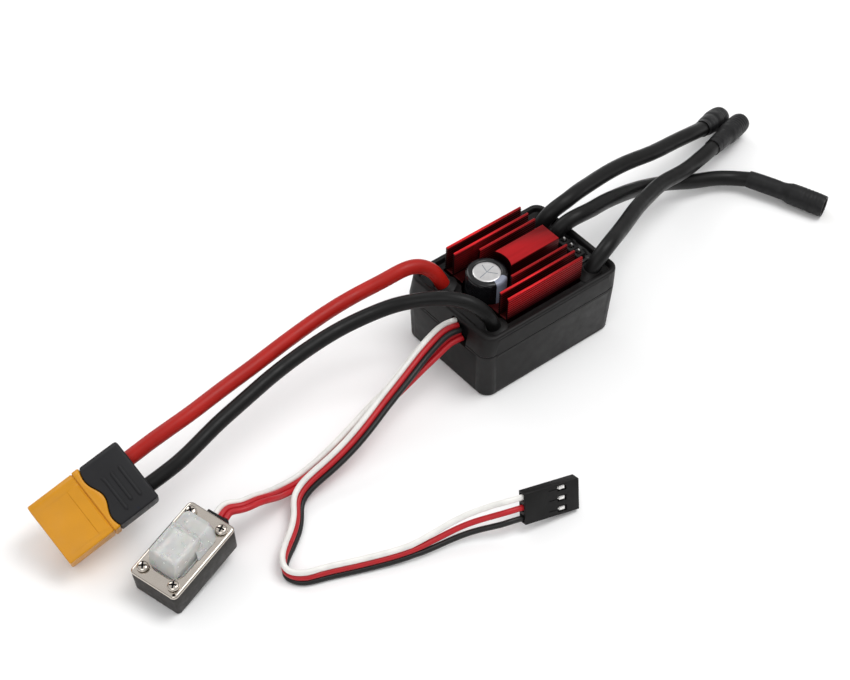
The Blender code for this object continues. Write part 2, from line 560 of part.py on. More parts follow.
hood = block("hood", (-6.6, 2.7), (-3.4, 3.5), (6.05, 11.65), None, 1.2, 3)
pad = block("low_hood", (2.3, 7.3), (-3.2, 3.6), (6.15, 9.35), None, 1.3, 1)
hood_room = block("cut_hood", (-6.0, 2.0), (-2.8, 2.8), (5.0, 11.0), None, 0.8, 2)
pad_room = block("cut_low_hood", (2.9, 6.9), (-2.6, 2.8), (5.1, 8.6), None, 0.9, 1)
grow(boot, hood, pad)
cut(boot, hood_room, pad_room)
switch_set += [gland, circuit, slider, slider_slot, push, push_hole, lamp, boot, hood, pad, hood_room, pad_room]

lever = block("switch_lever", (-0.8, 0.8), (-0.7, 0.7), (5.55, 7.65), "knob_white")
knob = block("knob", (-1.6, 1.6), (-1.7, 1.7), (7.25, 10.35), None, 0.6, 3)
grow(lever, knob)
lever.matrix_world = moved(LEVER_REST, 0, 0)
knob.matrix_world = moved(LEVER_REST, 0, 0)
cap = rod("set_button", 1.1, (5.35, 7.45), "soft_black", 20)
cap.matrix_world = moved(BUTTON_X, 0, 0)
switch_set += [lever, knob, cap]
seat(switch_frame, *switch_set)

# Leads
tube("power_wire_red", red_route, WIRE_DIAMETER, "wire_red", 30)
tube("power_wire_black", black_route, WIRE_DIAMETER, "wire_black", 30)
for name, route in motor_routes.items():
    tube("motor_wire_" + name, route, MOTOR_WIRE_DIAMETER, "wire_black", 26)
    start = Vector(smooth_path(route, 60)[-1])
    tip = Vector(sleeve_ends[name])
    way = (tip - start).normalized()
    length = (tip - start).length
    frame = frame_at(start, (0, 0, 1), way) if abs(way.z) > 0.9 else frame_at(start, way, (0, 0, 1))
    sleeve = lathe("motor_sleeve_" + name, [
        (2.2, length), (2.75, length), (2.75, 8.2), (2.35, 7.4), (2.35, 0.5), (1.0, 0.5), (1.0, 2.0),
        (2.2, 3.4)], "heat_shrink", 20, closed=True)
    socket = lathe("motor_socket_" + name, [
        (1.5, length - 0.6), (1.9, length - 0.6), (1.9, 3.8), (1.5, 3.8)], "gold", 20, closed=True)
    for piece in (sleeve, socket):
        piece.matrix_world = frame @ turned("Y")
ribbon("signal_ribbon", signal_route, "ribbon", 66, split_from=52)
ribbon("switch_ribbon", switch_route, "ribbon", 34)
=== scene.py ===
"""Looks of the speed controller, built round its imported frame.

Metres, Z up. Shapes are drawn in millimetres and scaled when their mesh is made.
"""

import bmesh
import bpy
import numpy as np
from mathutils import Matrix, Vector


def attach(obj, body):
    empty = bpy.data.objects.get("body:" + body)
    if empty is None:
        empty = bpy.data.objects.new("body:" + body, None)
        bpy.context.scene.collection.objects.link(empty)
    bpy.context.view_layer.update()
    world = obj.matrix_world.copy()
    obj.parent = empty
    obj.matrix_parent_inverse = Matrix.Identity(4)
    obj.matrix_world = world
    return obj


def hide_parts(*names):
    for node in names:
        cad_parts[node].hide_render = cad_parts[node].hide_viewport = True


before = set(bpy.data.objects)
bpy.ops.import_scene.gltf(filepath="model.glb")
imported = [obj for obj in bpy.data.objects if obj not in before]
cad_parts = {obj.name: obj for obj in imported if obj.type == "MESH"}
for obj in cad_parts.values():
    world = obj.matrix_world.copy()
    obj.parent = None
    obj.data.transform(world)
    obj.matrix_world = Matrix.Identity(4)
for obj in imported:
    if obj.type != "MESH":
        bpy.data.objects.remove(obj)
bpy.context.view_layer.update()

MM = 0.001
BODY = "controller"
scene = bpy.context.scene

# Camera
camera_data = bpy.data.cameras.new("camera")
camera_data.sensor_width = 36.0
camera_data.lens = 95.85
camera_data.clip_start = 0.05
camera_data.clip_end = 20.0
camera = bpy.data.objects.new("camera", camera_data)
scene.collection.objects.link(camera)
camera_axes = Matrix((Vector((0.7694, -0.6382, 0.0264)), Vector((0.4430, 0.5630, 0.6977)),
                      Vector((-0.4601, -0.5251, 0.7159)))).transposed()
camera.matrix_world = Matrix.Translation((-0.26518, -0.27247, 0.38402)) @ camera_axes.to_4x4()
scene.camera = camera


# Materials
class Finish:
    """A Principled material whose colour, roughness and bump come from procedural nodes.

    rough is one number, or the two values that the roughness wanders between and the size of its patches;
    patches is how far the colour wanders and over what size; each relief is a depth, a size and a detail.
    """

    def __init__(self, name, colour, rough, specular=0.5, patches=None, *reliefs):
        self.material = bpy.data.materials.new(name)
        self.material.use_nodes = True
        self.tree = self.material.node_tree
        self.shader = self.tree.nodes["Principled BSDF"]
        self.place = self.node("ShaderNodeTexCoord").outputs["Object"]
        self.height = None
        self.colour = colour
        self.set("Base Color", (*colour, 1.0))
        self.set("Specular IOR Level", specular)
        self.set("Metallic", METALLIC.get(name, 0.0))
        if patches:
            self.mottle(*patches)
        if isinstance(rough, tuple):
            self.uneven(*rough)
        else:
            self.set("Roughness", rough)
        for relief in reliefs:
            self.bump(*relief)

    def set(self, socket, value):
        """Sets one of the shader's own sockets."""
        self.feed(self.shader.inputs[socket], value)

    def feed(self, socket, value):
        """Links the socket to another node's output, or sets it to a constant."""
        if isinstance(value, bpy.types.NodeSocket):
            self.tree.links.new(value, socket)
        else:
            socket.default_value = value

    def node(self, kind, **inputs):
        made = self.tree.nodes.new(kind)
        for name, value in inputs.items():
            self.feed(made.inputs[name], value)
        return made

    def axes(self, vector):
        return self.node("ShaderNodeSeparateXYZ", Vector=vector).outputs

    def math(self, operation, *values):
        made = self.tree.nodes.new("ShaderNodeMath")
        made.operation = operation
        for socket, value in zip(made.inputs, values):
            self.feed(socket, value)
        return made.outputs[0]

    def noise(self, size, detail=3.0, stretch=(1.0, 1.0, 1.0), roughness=0.5):
        """Noise whose features are about size metres across."""
        place = self.place
        if stretch != (1.0, 1.0, 1.0):
            place = self.node("ShaderNodeMapping", Vector=self.place, Scale=stretch).outputs["Vector"]
        return self.node("ShaderNodeTexNoise", Vector=place, Scale=1.0 / size, Detail=detail,
                         Roughness=roughness).outputs["Fac"]

    def span(self, value, low, high, to_low, to_high):
        made = self.node("ShaderNodeMapRange", Value=value)
        for socket, number in (("From Min", low), ("From Max", high), ("To Min", to_low), ("To Max", to_high)):
            made.inputs[socket].default_value = number
        return made.outputs["Result"]

    def blend(self, factor, first, second):
        """A colour between two, each a constant or another node's output."""
        made = self.tree.nodes.new("ShaderNodeMix")
        made.data_type = "RGBA"
        self.feed(made.inputs["Factor"], factor)
        for name, value in (("A", first), ("B", second)):
            socket = next(s for s in made.inputs if s.name == name and s.type == "RGBA")
            self.feed(socket, (*value, 1.0) if isinstance(value, tuple) else value)
        return next(s for s in made.outputs if s.type == "RGBA")

    def mottle(self, amount, size, **noise):
        """Darker and lighter patches of the base colour."""
        dark = tuple(c * (1 - amount) for c in self.colour)
        light = tuple(min(1.0, c * (1 + amount)) for c in self.colour)
        factor = self.span(self.noise(size, **noise), 0.3, 0.7, 0.0, 1.0)
        mixed = self.blend(factor, dark, light)
        self.set("Base Color", mixed)
        return mixed

    def uneven(self, low, high, size, **noise):
        """Roughness that wanders between two values."""
        self.set("Roughness", self.span(self.noise(size, **noise), 0.3, 0.7, low, high))

    def bump(self, depth, size, detail=3.0, **noise):
        """Adds relief of about that depth in metres; a second call adds to the first."""
        made = self.node("ShaderNodeBump", Strength=1.0, Distance=depth, Height=self.noise(size, detail, **noise))
        if self.height is not None:
            self.feed(made.inputs["Normal"], self.height)
        self.height = made.outputs["Normal"]
        self.set("Normal", self.height)


METALLIC = {"sink_red": 0.86, "can_metal": 1.0, "gold": 1.0, "contact_steel": 1.0, "nickel": 1.0}
WIRE_SKIN = ((0.00006, 0.004, 1.0), (0.000008, 0.0003))
RIBBON_SKIN = ((0.3, 0.46, 0.002), 0.35, (0.07, 0.003), (0.00002, 0.0012, 2.0))
PLAIN = {
    "case_plastic": ((0.0078, 0.0072, 0.0072), (0.38, 0.5, 0.0025), 0.2, (0.10, 0.006), (0.00001, 0.00016, 2.0)),
    "can_metal": ((0.66, 0.65, 0.65), (0.3, 0.38, 0.0012), 0.5, (0.04, 0.0009), (0.000006, 0.0006)),
    "can_film": ((0.005, 0.005, 0.006), (0.18, 0.28, 0.002), 0.35, None, (0.00004, 0.0035, 1.0)),
    "soft_black": ((0.006, 0.006, 0.0065), (0.42, 0.6, 0.001), 0.2, (0.15, 0.002), (0.00002, 0.0006)),
    "wire_black": ((0.0052, 0.0051, 0.0051), (0.3, 0.46, 0.003), 0.2, (0.22, 0.005), *WIRE_SKIN),
    "wire_red": ((0.37, 0.010, 0.006), (0.32, 0.46, 0.003), 0.22, (0.10, 0.006), *WIRE_SKIN),
    "heat_shrink": ((0.0075, 0.0075, 0.008), (0.4, 0.6, 0.0012), 0.24, (0.25, 0.002), (0.00012, 0.0022, 2.0),
                    (0.00002, 0.0004)),
    "potting": ((0.006, 0.006, 0.006), (0.16, 0.4, 0.0012), 0.35, (0.3, 0.001), (0.00025, 0.0016, 4.0)),
    "ribbon_white": ((0.76, 0.75, 0.72), *RIBBON_SKIN),
    "ribbon_red": ((0.44, 0.010, 0.016), *RIBBON_SKIN),
    "ribbon_black": ((0.008, 0.008, 0.008), *RIBBON_SKIN),
    "plug_amber": ((0.60, 0.255, 0.004), (0.3, 0.44, 0.002), 0.3, (0.06, 0.008), (0.000012, 0.0003),
                   (0.00003, 0.004, 1.0)),
    "sheath_grey": ((0.0125, 0.0125, 0.014), (0.46, 0.6, 0.002), 0.22, (0.12, 0.004), (0.000014, 0.0002),
                    (0.00004, 0.005, 1.0)),
    "plug_black": ((0.0065, 0.0062, 0.0062), (0.36, 0.5, 0.001), 0.2, (0.15, 0.003), (0.00001, 0.00018)),
    "gold": ((0.90, 0.64, 0.24), (0.18, 0.32, 0.0008), 0.5, (0.08, 0.0015), (0.000006, 0.0003)),
    "contact_steel": ((0.82, 0.81, 0.79), (0.2, 0.34, 0.0008), 0.5, (0.10, 0.0012), (0.000006, 0.0003)),
    "switch_dark": ((0.022, 0.019, 0.017), (0.4, 0.54, 0.0014), 0.25, (0.12, 0.003), (0.000012, 0.00018)),
    "nickel": ((0.56, 0.51, 0.455), (0.12, 0.2, 0.003), 0.5, (0.05, 0.006), (0.000006, 0.0008)),
    "boot_silicone": ((0.95, 0.94, 0.92), (0.16, 0.3, 0.0016), 0.5, (0.05, 0.002), (0.00003, 0.0012, 2.0)),
    "board": ((0.012, 0.10, 0.045), (0.3, 0.5, 0.0008), 0.5, (0.3, 0.0012), (0.00003, 0.0006)),
    "chip": ((0.016, 0.016, 0.018), 0.42, 0.5, (0.2, 0.0008), (0.00001, 0.00012)),
    "pad_grey": ((0.30, 0.33, 0.36), 0.8, 0.5, (0.1, 0.001), (0.00003, 0.0003)),
    "knob_white": ((0.14, 0.14, 0.14), 0.4, 0.5, (0.06, 0.001), (0.00001, 0.0002)),
    "led_clear": ((0.80, 0.82, 0.80), 0.12, 0.5, (0.04, 0.0004), (0.000004, 0.0002)),
}


def sink_finish():
    """Red anodised aluminium, brushed along X, with painted shade: darker on the fins' end faces, on the faces between
    the fins, low down between the fins and in the valleys of the ribs."""
    sink = Finish("sink_red", (0.47, 0.012, 0.016), 0.34)
    look = sink.mottle(0.10, 0.0012, stretch=(0.08, 1.0, 1.0))
    _, place_y, place_z = sink.axes(sink.place)
    facing_x, _, facing_z = sink.axes(sink.node("ShaderNodeNewGeometry").outputs["Normal"])
    # Painted shade on the faces that look along X, the fins' end faces.
    painted_end_shade = sink.span(sink.math("ABSOLUTE", facing_x), 0.7, 0.95, 0.0, 0.84)
    # Painted shade in the valleys between the ribs, on upright faces below the top.
    step = sink.math("FRACT", sink.math("MULTIPLY", sink.math("SUBTRACT", place_z, 0.01825), 9 / 0.00615))
    groove = sink.span(sink.math("ABSOLUTE", sink.math("SUBTRACT", step, 0.5)), 0.17, 0.30, 0.0, 0.85)
    upright = sink.span(sink.math("ABSOLUTE", facing_z), 0.5, 0.8, 1.0, 0.0)
    below_top = sink.span(place_z, 0.0242, 0.0245, 1.0, 0.0)
    painted_groove_shade = sink.math("MULTIPLY", groove, sink.math("MULTIPLY", upright, below_top))
    # Painted shade on the upright faces, all but the outer face of the front fin.
    painted_inner_shade = sink.math("MULTIPLY", upright, sink.span(place_y, -0.0107, -0.0103, 0.0, 0.72))
    # Painted shade low on the sink, darker towards the floor between the fins.
    low = sink.span(place_z, 0.0180, 0.0222, 0.93, 0.0)
    # Each share blends the colour towards near black: painted shade.
    for share in (painted_end_shade, painted_inner_shade, painted_groove_shade, low):
        look = sink.blend(share, look, (0.016, 0.0016, 0.0016))
    sink.set("Base Color", look)
    sink.uneven(0.28, 0.42, 0.0006, stretch=(0.06, 1.0, 1.0))
    sink.bump(0.000008, 0.00012, stretch=(0.05, 1.0, 1.0))
    return sink


def add_stripe(film):
    """A pale stripe down the capacitor's jacket, at one angle round its axis."""
    x, y, _ = film.axes(film.place)
    turn = film.math("ARCTAN2", film.math("SUBTRACT", y, 0.0004), film.math("SUBTRACT", x, -0.0080))
    away = film.math("ABSOLUTE", film.math("SUBTRACT", turn, -1.40))
    stripe = film.span(away, 0.38, 0.41, 1.0, 0.0)
    film.set("Base Color", film.blend(stripe, film.colour, (0.24, 0.26, 0.33)))


def finishes():
    """All materials, by the name of the record's slot or of the part of it that they show."""
    made = {name: Finish(name, *sizes) for name, sizes in PLAIN.items()}
    made["sink_red"] = sink_finish()
    add_stripe(made["can_film"])
    for socket, value in (("Transmission Weight", 0.6), ("IOR", 1.41), ("Subsurface Weight", 0.15),
                          ("Subsurface Scale", 0.002)):
        made["boot_silicone"].set(socket, value)
    return {name: finish.material for name, finish in made.items()}


LOOKS = finishes()


# Shapes: each returns points in millimetres and faces
def outline(x, y, corner, steps=6, cuts_x=(), cuts_y=()):
    """A rounded rectangle, counter-clockwise; cuts are extra points on its straight sides, as shares of
    their half length."""
    mid_x, mid_y = (x[0] + x[1]) / 2, (y[0] + y[1]) / 2
    flat_x, flat_y = (x[1] - x[0]) / 2 - corner, (y[1] - y[0]) / 2 - corner
    points = []
    for side, (sx, sy) in enumerate(((1, -1), (1, 1), (-1, 1), (-1, -1))):
        for angle in np.radians(np.linspace(-90, 0, steps + 1) + 90 * side):
            points.append((mid_x + sx * flat_x + corner * np.cos(angle),
                           mid_y + sy * flat_y + corner * np.sin(angle)))
        if side % 2:
            points += [(mid_x - sx * c * flat_x, y[sy > 0]) for c in cuts_x]
        else:
            points += [(x[sx > 0], mid_y - sy * c * flat_y) for c in cuts_y]
    return np.array(points)


def at_height(points, z):
    return np.column_stack([points, np.full(len(points), z)])


def loft(rings, loop=False):
    """Skin through rings of equal length; ends are closed with flat faces, or the last ring joins the first."""
    rings = np.array(rings, float)
    count, size, _ = rings.shape
    faces = []
    for i in range(count if loop else count - 1):
        a, b = i * size, (i + 1) % count * size
        faces += [(a + k, a + (k + 1) % size, b + (k + 1) % size, b + k) for k in range(size)]
    if not loop:
        faces += [tuple(reversed(range(size))), tuple(range((count - 1) * size, count * size))]
    return rings.reshape(-1, 3), faces


def revolve(profile, steps=48, loop=False):
    """A round shape about Z through (radius, z) points that go from the bottom up the outside."""
    turn = np.linspace(0, 2 * np.pi, steps, endpoint=False)
    return loft([np.column_stack([r * np.cos(turn), r * np.sin(turn), np.full(steps, z)])
                 for r, z in profile], loop=loop)


def rounded(x, y, z, corner, edge, steps=5, taper=(0.0, 0.0)):
    """A block with rounded upright corners and rounded edges; taper draws its top in along x and y."""
    rings = []
    for low, angles in ((True, (0, 30, 60, 90)), (False, (90, 60, 30, 0))):
        for angle in np.radians(angles):
            inset = edge * (1 - np.sin(angle))
            rise = edge * (1 - np.cos(angle))
            height = z[0] + rise if low else z[1] - rise
            share = (height - z[0]) / (z[1] - z[0])
            dx, dy = inset + taper[0] * share, inset + taper[1] * share
            ring = outline((x[0] + dx, x[1] - dx), (y[0] + dy, y[1] - dy), max(0.03, corner - inset), steps)
            rings.append(at_height(ring, height))
    return loft(rings)


def offset(points, amount):
    """The closed outline moved outwards by that amount."""
    normals = []
    for edge in (np.roll(points, -1, axis=0) - points, points - np.roll(points, 1, axis=0)):
        edge = edge / np.maximum(np.linalg.norm(edge, axis=1), 1e-9)[:, None]
        normals.append(np.column_stack([edge[:, 1], -edge[:, 0]]))
    middle = normals[0] + normals[1]
    middle /= np.maximum(np.linalg.norm(middle, axis=1), 1e-9)[:, None]
    reach = np.clip((middle * normals[0]).sum(axis=1), 0.5, 1.0)
    return points + middle * (amount / reach)[:, None]


def reach_of(points):
    """Each point's distance from the first, along the line."""
    return np.concatenate([[0], np.cumsum(np.linalg.norm(np.diff(points, axis=0), axis=1))])


def resample(at, known, rows):
    """The rows, known at some places, interpolated at others."""
    return np.stack([np.interp(at, known, column) for column in rows.T], axis=1)


def smooth_path(points, count):
    """Evenly spread points on the natural cubic spline through the route points."""
    route = np.array(points, float)
    reach = reach_of(route)
    span = np.diff(reach)
    size = len(route)
    rows = np.eye(size)
    right = np.zeros((size, 3))
    for i in range(1, size - 1):
        rows[i, i - 1:i + 2] = (span[i - 1], 2 * (span[i - 1] + span[i]), span[i])
        right[i] = 6 * ((route[i + 1] - route[i]) / span[i] - (route[i] - route[i - 1]) / span[i - 1])
    bend = np.linalg.solve(rows, right)
    fine = np.linspace(0, reach[-1], 1200)
    at = np.clip(np.searchsorted(reach, fine, "right") - 1, 0, size - 2)
    ahead = (fine - reach[at])[:, None]
    back = (reach[at + 1] - fine)[:, None]
    width = span[at][:, None]
    curve = (bend[at] * back ** 3 + bend[at + 1] * ahead ** 3) / (6 * width)
    curve += (route[at] / width - bend[at] * width / 6) * back
    curve += (route[at + 1] / width - bend[at + 1] * width / 6) * ahead
    run = reach_of(curve)
    return resample(np.linspace(0, run[-1], count), run, curve)


def unit(rows):
    return rows / np.linalg.norm(rows, axis=1)[:, None]


def swept(path, radius, steps, squash=1.0):
    """A tube along the points; radius is one number or one for each point, and squash scales its width along
    its first cross axis."""
    along = unit(np.gradient(path, axis=0))
    side = np.cross(along[0], (0.0, 0.0, 1.0))
    if np.linalg.norm(side) < 0.2:
        side = np.cross(along[0], (0.0, 1.0, 0.0))
    turn = np.linspace(0, 2 * np.pi, steps, endpoint=False)
    radii = np.broadcast_to(radius, len(path))
    rings = []
    for i, place in enumerate(path):
        side = side - along[i] * (side @ along[i])
        side = side / np.linalg.norm(side)
        up = np.cross(along[i], side)
        rings.append(place + radii[i] * (np.outer(np.cos(turn), side) * squash + np.outer(np.sin(turn), up)))
    return loft(rings)


def hole(radius, low, high, steps):
    """A plain drill for a cut, about Z."""
    return revolve([(radius, low), (radius, high)], steps)


# Placements, in millimetres
def frame_at(origin, along, up):
    """A placement whose X runs along the first direction and whose Z leans towards the second."""
    x = Vector(along).normalized()
    y = Vector(up).cross(x).normalized()
    place = Matrix((x, y, x.cross(y))).transposed().to_4x4()
    place.translation = Vector(origin)
    return place


def spot(place, x, y, z):
    return tuple(place @ Vector((x, y, z)))


def shift(x, y, z):
    return Matrix.Translation((x, y, z))


LYING = Matrix.Rotation(np.pi / 2, 4, "Y")
plug_frame = frame_at((-123.4, 7.9, 7.05), (0.949, -0.060, 0.303), (-0.296, -0.457, 0.84))
servo_frame = frame_at((-31.24, -48.81, 4.85), (0.971, -0.2, -0.129), (0.184, 0.342, 0.921))
switch_frame = frame_at((-102.88, -12.79, 2.13), (0.9514, 0.2482, 0.1822), (-0.1662, -0.0845, 0.9825))


class Piece:
    """One visible piece, made of shells in turn: laid in, joined to or cut from what is there already. Every
    placement is within the piece's own."""

    def __init__(self, name, *looks, place=Matrix()):
        self.name = name
        self.looks = looks
        self.place = place
        self.obj = bpy.data.objects.new(name, bpy.data.meshes.new(name))
        scene.collection.objects.link(self.obj)
        for look in looks:
            self.obj.data.materials.append(LOOKS[look])

    def mesh(self, shape, place, look):
        points, faces = shape
        turn = np.array(self.place @ place, float)
        points = points @ turn[:3, :3].T + turn[:3, 3]
        made = bpy.data.meshes.new(self.name + "_part")
        made.from_pydata([tuple(p) for p in points], [], faces)
        for name in self.looks:
            made.materials.append(LOOKS[name])
        made.polygons.foreach_set("material_index", [look] * len(faces))
        bm = bmesh.new()
        bm.from_mesh(made)
        bmesh.ops.recalc_face_normals(bm, faces=bm.faces)
        bm.to_mesh(made)
        bm.free()
        return made

    def shell(self, shape, place=Matrix(), look=0):
        """Lays the shape in beside or through what is there."""
        extra = self.mesh(shape, place, look)
        bm = bmesh.new()
        bm.from_mesh(self.obj.data)
        bm.from_mesh(extra)
        bm.to_mesh(self.obj.data)
        bm.free()
        bpy.data.meshes.remove(extra)
        return self

    def combine(self, operation, shape, place, look):
        tool = bpy.data.objects.new(self.name + "_tool", self.mesh(shape, place, look))
        scene.collection.objects.link(tool)
        step = self.obj.modifiers.new(operation, "BOOLEAN")
        step.operation = operation
        step.solver = "EXACT"
        step.object = tool
        bpy.context.view_layer.update()
        graph = bpy.context.evaluated_depsgraph_get()
        made = bpy.data.meshes.new_from_object(self.obj.evaluated_get(graph))
        self.obj.modifiers.clear()
        self.obj.data = made
        bpy.data.objects.remove(tool)
        return self

    def join(self, shape, place=Matrix(), look=0):
        return self.combine("UNION", shape, place, look)

    def cut(self, shape, place=Matrix(), look=0):
        return self.combine("DIFFERENCE", shape, place, look)

    def block(self, *sizes):
        return self.shell(rounded(*sizes))

    def pocket(self, *sizes):
        return self.cut(rounded(*sizes))

    def build(self, node, slot=None, sharp=38.0):
        """Finishes the piece, which stands for that CAD node; slot is not used."""
        self.obj.data.name = self.name
        self.obj.data.transform(Matrix.Scale(MM, 4))
        self.obj.data.shade_smooth()
        self.obj.data.set_sharp_from_angle(angle=np.radians(sharp))
        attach(self.obj, BODY)
        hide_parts(node)
        return self.obj


# Leads: routes in millimetres, as in the CAD; each ribbon point comes with the direction across its cores
WIRE = 3.5
MOTOR_WIRE = 3.85
CORE = 1.3
CORE_WELD = 0.03
PLUG_PITCH = 2.54
red_route = [
    (-13.3, 6.0, 12.2), (-14.1, 6.7, 15.0), (-15.4, 7.8, 18.7), (-16.8, 9.2, 21.7), (-19.7, 10.9, 23.7),
    (-23.8, 11.8, 24.2), (-27.6, 12.5, 23.4), (-35.3, 13.8, 22.0), (-42.3, 14.0, 21.5), (-50.4, 13.4, 21.2),
    (-59.0, 12.3, 21.0), (-68.1, 11.0, 20.8), (-77.0, 10.0, 20.4), (-85.5, 9.2, 19.6),
    *[spot(plug_frame, x, 3.6, 0.0) for x in (30.0, 23.4, 19.3)],
]
black_route = [
    (-13.9, -10.2, 11.8), (-14.1, -10.2, 15.0), (-14.9, -9.6, 18.8), (-16.4, -7.9, 22.0), (-18.9, -5.2, 24.2),
    (-22.3, -1.8, 24.8), (-26.5, 2.0, 23.9), (-30.6, 4.8, 22.9), (-37.0, 7.0, 21.9), (-44.0, 8.2, 21.1),
    (-51.3, 8.5, 20.4), (-58.6, 8.1, 19.8), (-66.0, 7.2, 19.2), (-73.5, 6.0, 18.4), (-82.0, 4.7, 17.2),
    *[spot(plug_frame, x, -3.6, 0.0) for x in (31.0, 23.4, 19.3)],
]
motor_routes = {
    "a": [
        (14.6, 8.6, 11.8), (14.9, 8.5, 14.5), (16.0, 8.2, 18.2), (18.4, 7.6, 21.3), (22.1, 7.2, 22.8),
        (26.6, 8.0, 22.6), (31.5, 9.3, 21.4), (39.7, 11.2, 19.5), (49.0, 12.6, 17.3), (58.0, 13.4, 14.9),
        (66.8, 14.8, 12.6), (74.6, 16.0, 10.5), (80.4, 17.3, 8.4),
    ],
    "b": [
        (14.5, 3.9, 11.8), (14.8, 3.8, 14.5), (15.9, 3.4, 18.2), (18.5, 2.9, 20.9), (22.0, 2.5, 21.7),
        (26.5, 3.0, 20.7), (31.9, 4.3, 19.0), (38.8, 5.8, 16.5), (46.4, 7.5, 13.1), (53.7, 8.5, 9.8),
        (61.2, 8.4, 6.7), (68.1, 6.9, 4.5), (74.3, 5.0, 3.4), (78.4, 2.0, 3.2), (80.4, -0.6, 3.6),
    ],
    "c": [
        (14.0, -10.7, 11.8), (14.2, -10.7, 14.5), (14.9, -10.7, 18.0), (17.0, -10.7, 21.0),
        (20.6, -9.9, 22.4), (25.0, -8.0, 21.6), (31.4, -4.9, 19.9), (39.0, -1.1, 17.8), (46.5, 2.1, 15.6),
        (53.9, 4.7, 13.5), (60.8, 6.1, 11.5), (68.5, 8.2, 9.4), (75.0, 10.0, 8.3), (78.2, 11.1, 7.5),
    ],
}
sleeve_ends = {"a": (92.4, 22.2, 2.95), "b": (88.5, -19.0, 2.95), "c": (94.4, 16.7, 3.6)}
signal_route = [
    ((-19.6, -3.5, 16.0), (0.0, 0.90, 0.43)), ((-22.8, -3.0, 16.0), (-0.2, 0.90, 0.42)),
    ((-26.3, -3.2, 15.2), (-0.3, 0.85, 0.41)), ((-31.0, -4.1, 13.9), (-0.34, 0.85, 0.41)),
    ((-38.0, -6.0, 12.1), (-0.34, 0.85, 0.41)), ((-45.0, -7.8, 10.2), (-0.30, 0.82, 0.46)),
    ((-51.5, -9.6, 8.5), (-0.25, 0.82, 0.50)), ((-58.0, -11.0, 6.9), (-0.2, 0.80, 0.54)),
    ((-65.0, -11.7, 5.2), (-0.2, 0.75, 0.60)), ((-70.0, -12.1, 3.9), (-0.3, 0.65, 0.68)),
    ((-73.5, -13.5, 2.8), (-0.4, 0.5, 0.77)), ((-75.8, -16.2, 2.1), (-0.45, 0.38, 0.80)),
    ((-78.2, -18.7, 1.9), (-0.43, 0.38, 0.81)), ((-82.0, -21.5, 1.9), (-0.4, 0.35, 0.85)),
    ((-85.6, -24.3, 1.95), (-0.2, 0.2, 0.96)), ((-87.3, -27.6, 2.0), (0.0, 0.0, 1.0)),
    ((-85.6, -30.5, 2.0), (0.15, 0.15, 0.97)), ((-82.0, -32.1, 1.95), (0.24, 0.28, 0.93)),
    ((-76.0, -34.5, 1.95), (0.24, 0.28, 0.93)), ((-69.0, -37.4, 2.1), (0.20, 0.30, 0.93)),
    ((-62.0, -39.8, 2.5), (0.20, 0.32, 0.92)), ((-55.0, -41.2, 3.3), (0.20, 0.33, 0.92)),
    ((-49.5, -42.6, 4.2), (0.20, 0.34, 0.92)), ((-45.0, -44.7, 5.2), (0.20, 0.34, 0.92)),
    *[(spot(servo_frame, x, 0.0, 0.0), (0.184, 0.342, 0.921)) for x in (-10.0, -7.0, -5.6)],
]
switch_route = [
    ((-19.6, -4.3, 14.1), (0.0, 0.90, 0.43)), ((-22.8, -3.8, 13.7), (-0.1, 0.90, 0.43)),
    ((-26.5, -4.0, 12.7), (-0.2, 0.87, 0.45)), ((-31.0, -4.5, 11.6), (-0.2, 0.87, 0.45)),
    ((-38.0, -5.3, 9.8), (-0.2, 0.85, 0.48)), ((-45.0, -6.1, 8.1), (-0.1, 0.85, 0.50)),
    ((-52.0, -7.3, 6.4), (-0.1, 0.82, 0.52)), ((-59.0, -8.5, 4.8), (-0.1, 0.85, 0.45)),
    ((-65.5, -9.1, 3.4), (0.0, 0.92, 0.35)), ((-70.5, -9.3, 2.9), (0.0, 0.97, 0.15)),
    ((-74.8, -9.8, 3.9), (0.1, 0.95, 0.0)), ((-79.7, -11.2, 6.8), (0.1, 0.95, -0.15)),
    ((-84.1, -11.7, 8.9), (0.0, 0.97, -0.1)), ((-87.9, -11.6, 9.8), (-0.15, 0.97, 0.0)),
    *[(spot(switch_frame, x, -0.9, z), (-0.259, 0.965, 0.039)) for x, z in ((14.0, 5.25), (11.5, 5.2))],
]


def lead(name, node, route, finish, width=WIRE):
    """A round lead as one open curve."""
    curve = bpy.data.curves.new(name, "CURVE")
    curve.dimensions = "3D"
    curve.bevel_depth = width / 2 * MM
    curve.bevel_resolution = 8
    curve.use_fill_caps = True
    spline = curve.splines.new("POLY")
    path = smooth_path(route, 140)
    spline.points.add(len(path) - 1)
    for point, place in zip(spline.points, path):
        point.co = (*(place * MM), 1.0)
    spline.use_smooth = True
    curve.materials.append(LOOKS[finish])
    obj = bpy.data.objects.new(name, curve)
    scene.collection.objects.link(obj)
    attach(obj, BODY)
    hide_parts(node)
    return obj


def flat_lead(name, node, route, looks, count, split_from=None):
    """Three cores side by side; past the split they open out to the plug pitch. Returns the piece and its
    middle line."""
    keys = np.array([place for place, _ in route], float)
    middle = smooth_path(keys, count)
    leans = np.array([lean for _, lean in route], float)
    reach = reach_of(keys)
    across = resample(np.linspace(0, reach[-1], count), reach, leans)
    along = unit(np.gradient(middle, axis=0))
    across = unit(across - along * (across * along).sum(axis=1)[:, None])
    pitch = np.full(count, CORE)
    if split_from is not None:
        opened = (np.arange(count) - split_from) / (count * 0.94 - split_from)
        pitch = CORE + (PLUG_PITCH - CORE) * np.clip(opened, 0.0, 1.0) ** 0.8
    piece = Piece(name, *looks)
    for look, core in enumerate((-1, 0, 1)):
        piece.shell(swept(middle + across * (core * pitch)[:, None], CORE / 2 + CORE_WELD, 14), look=look)
    return piece.build(node, slot="ribbon", sharp=60.0), middle


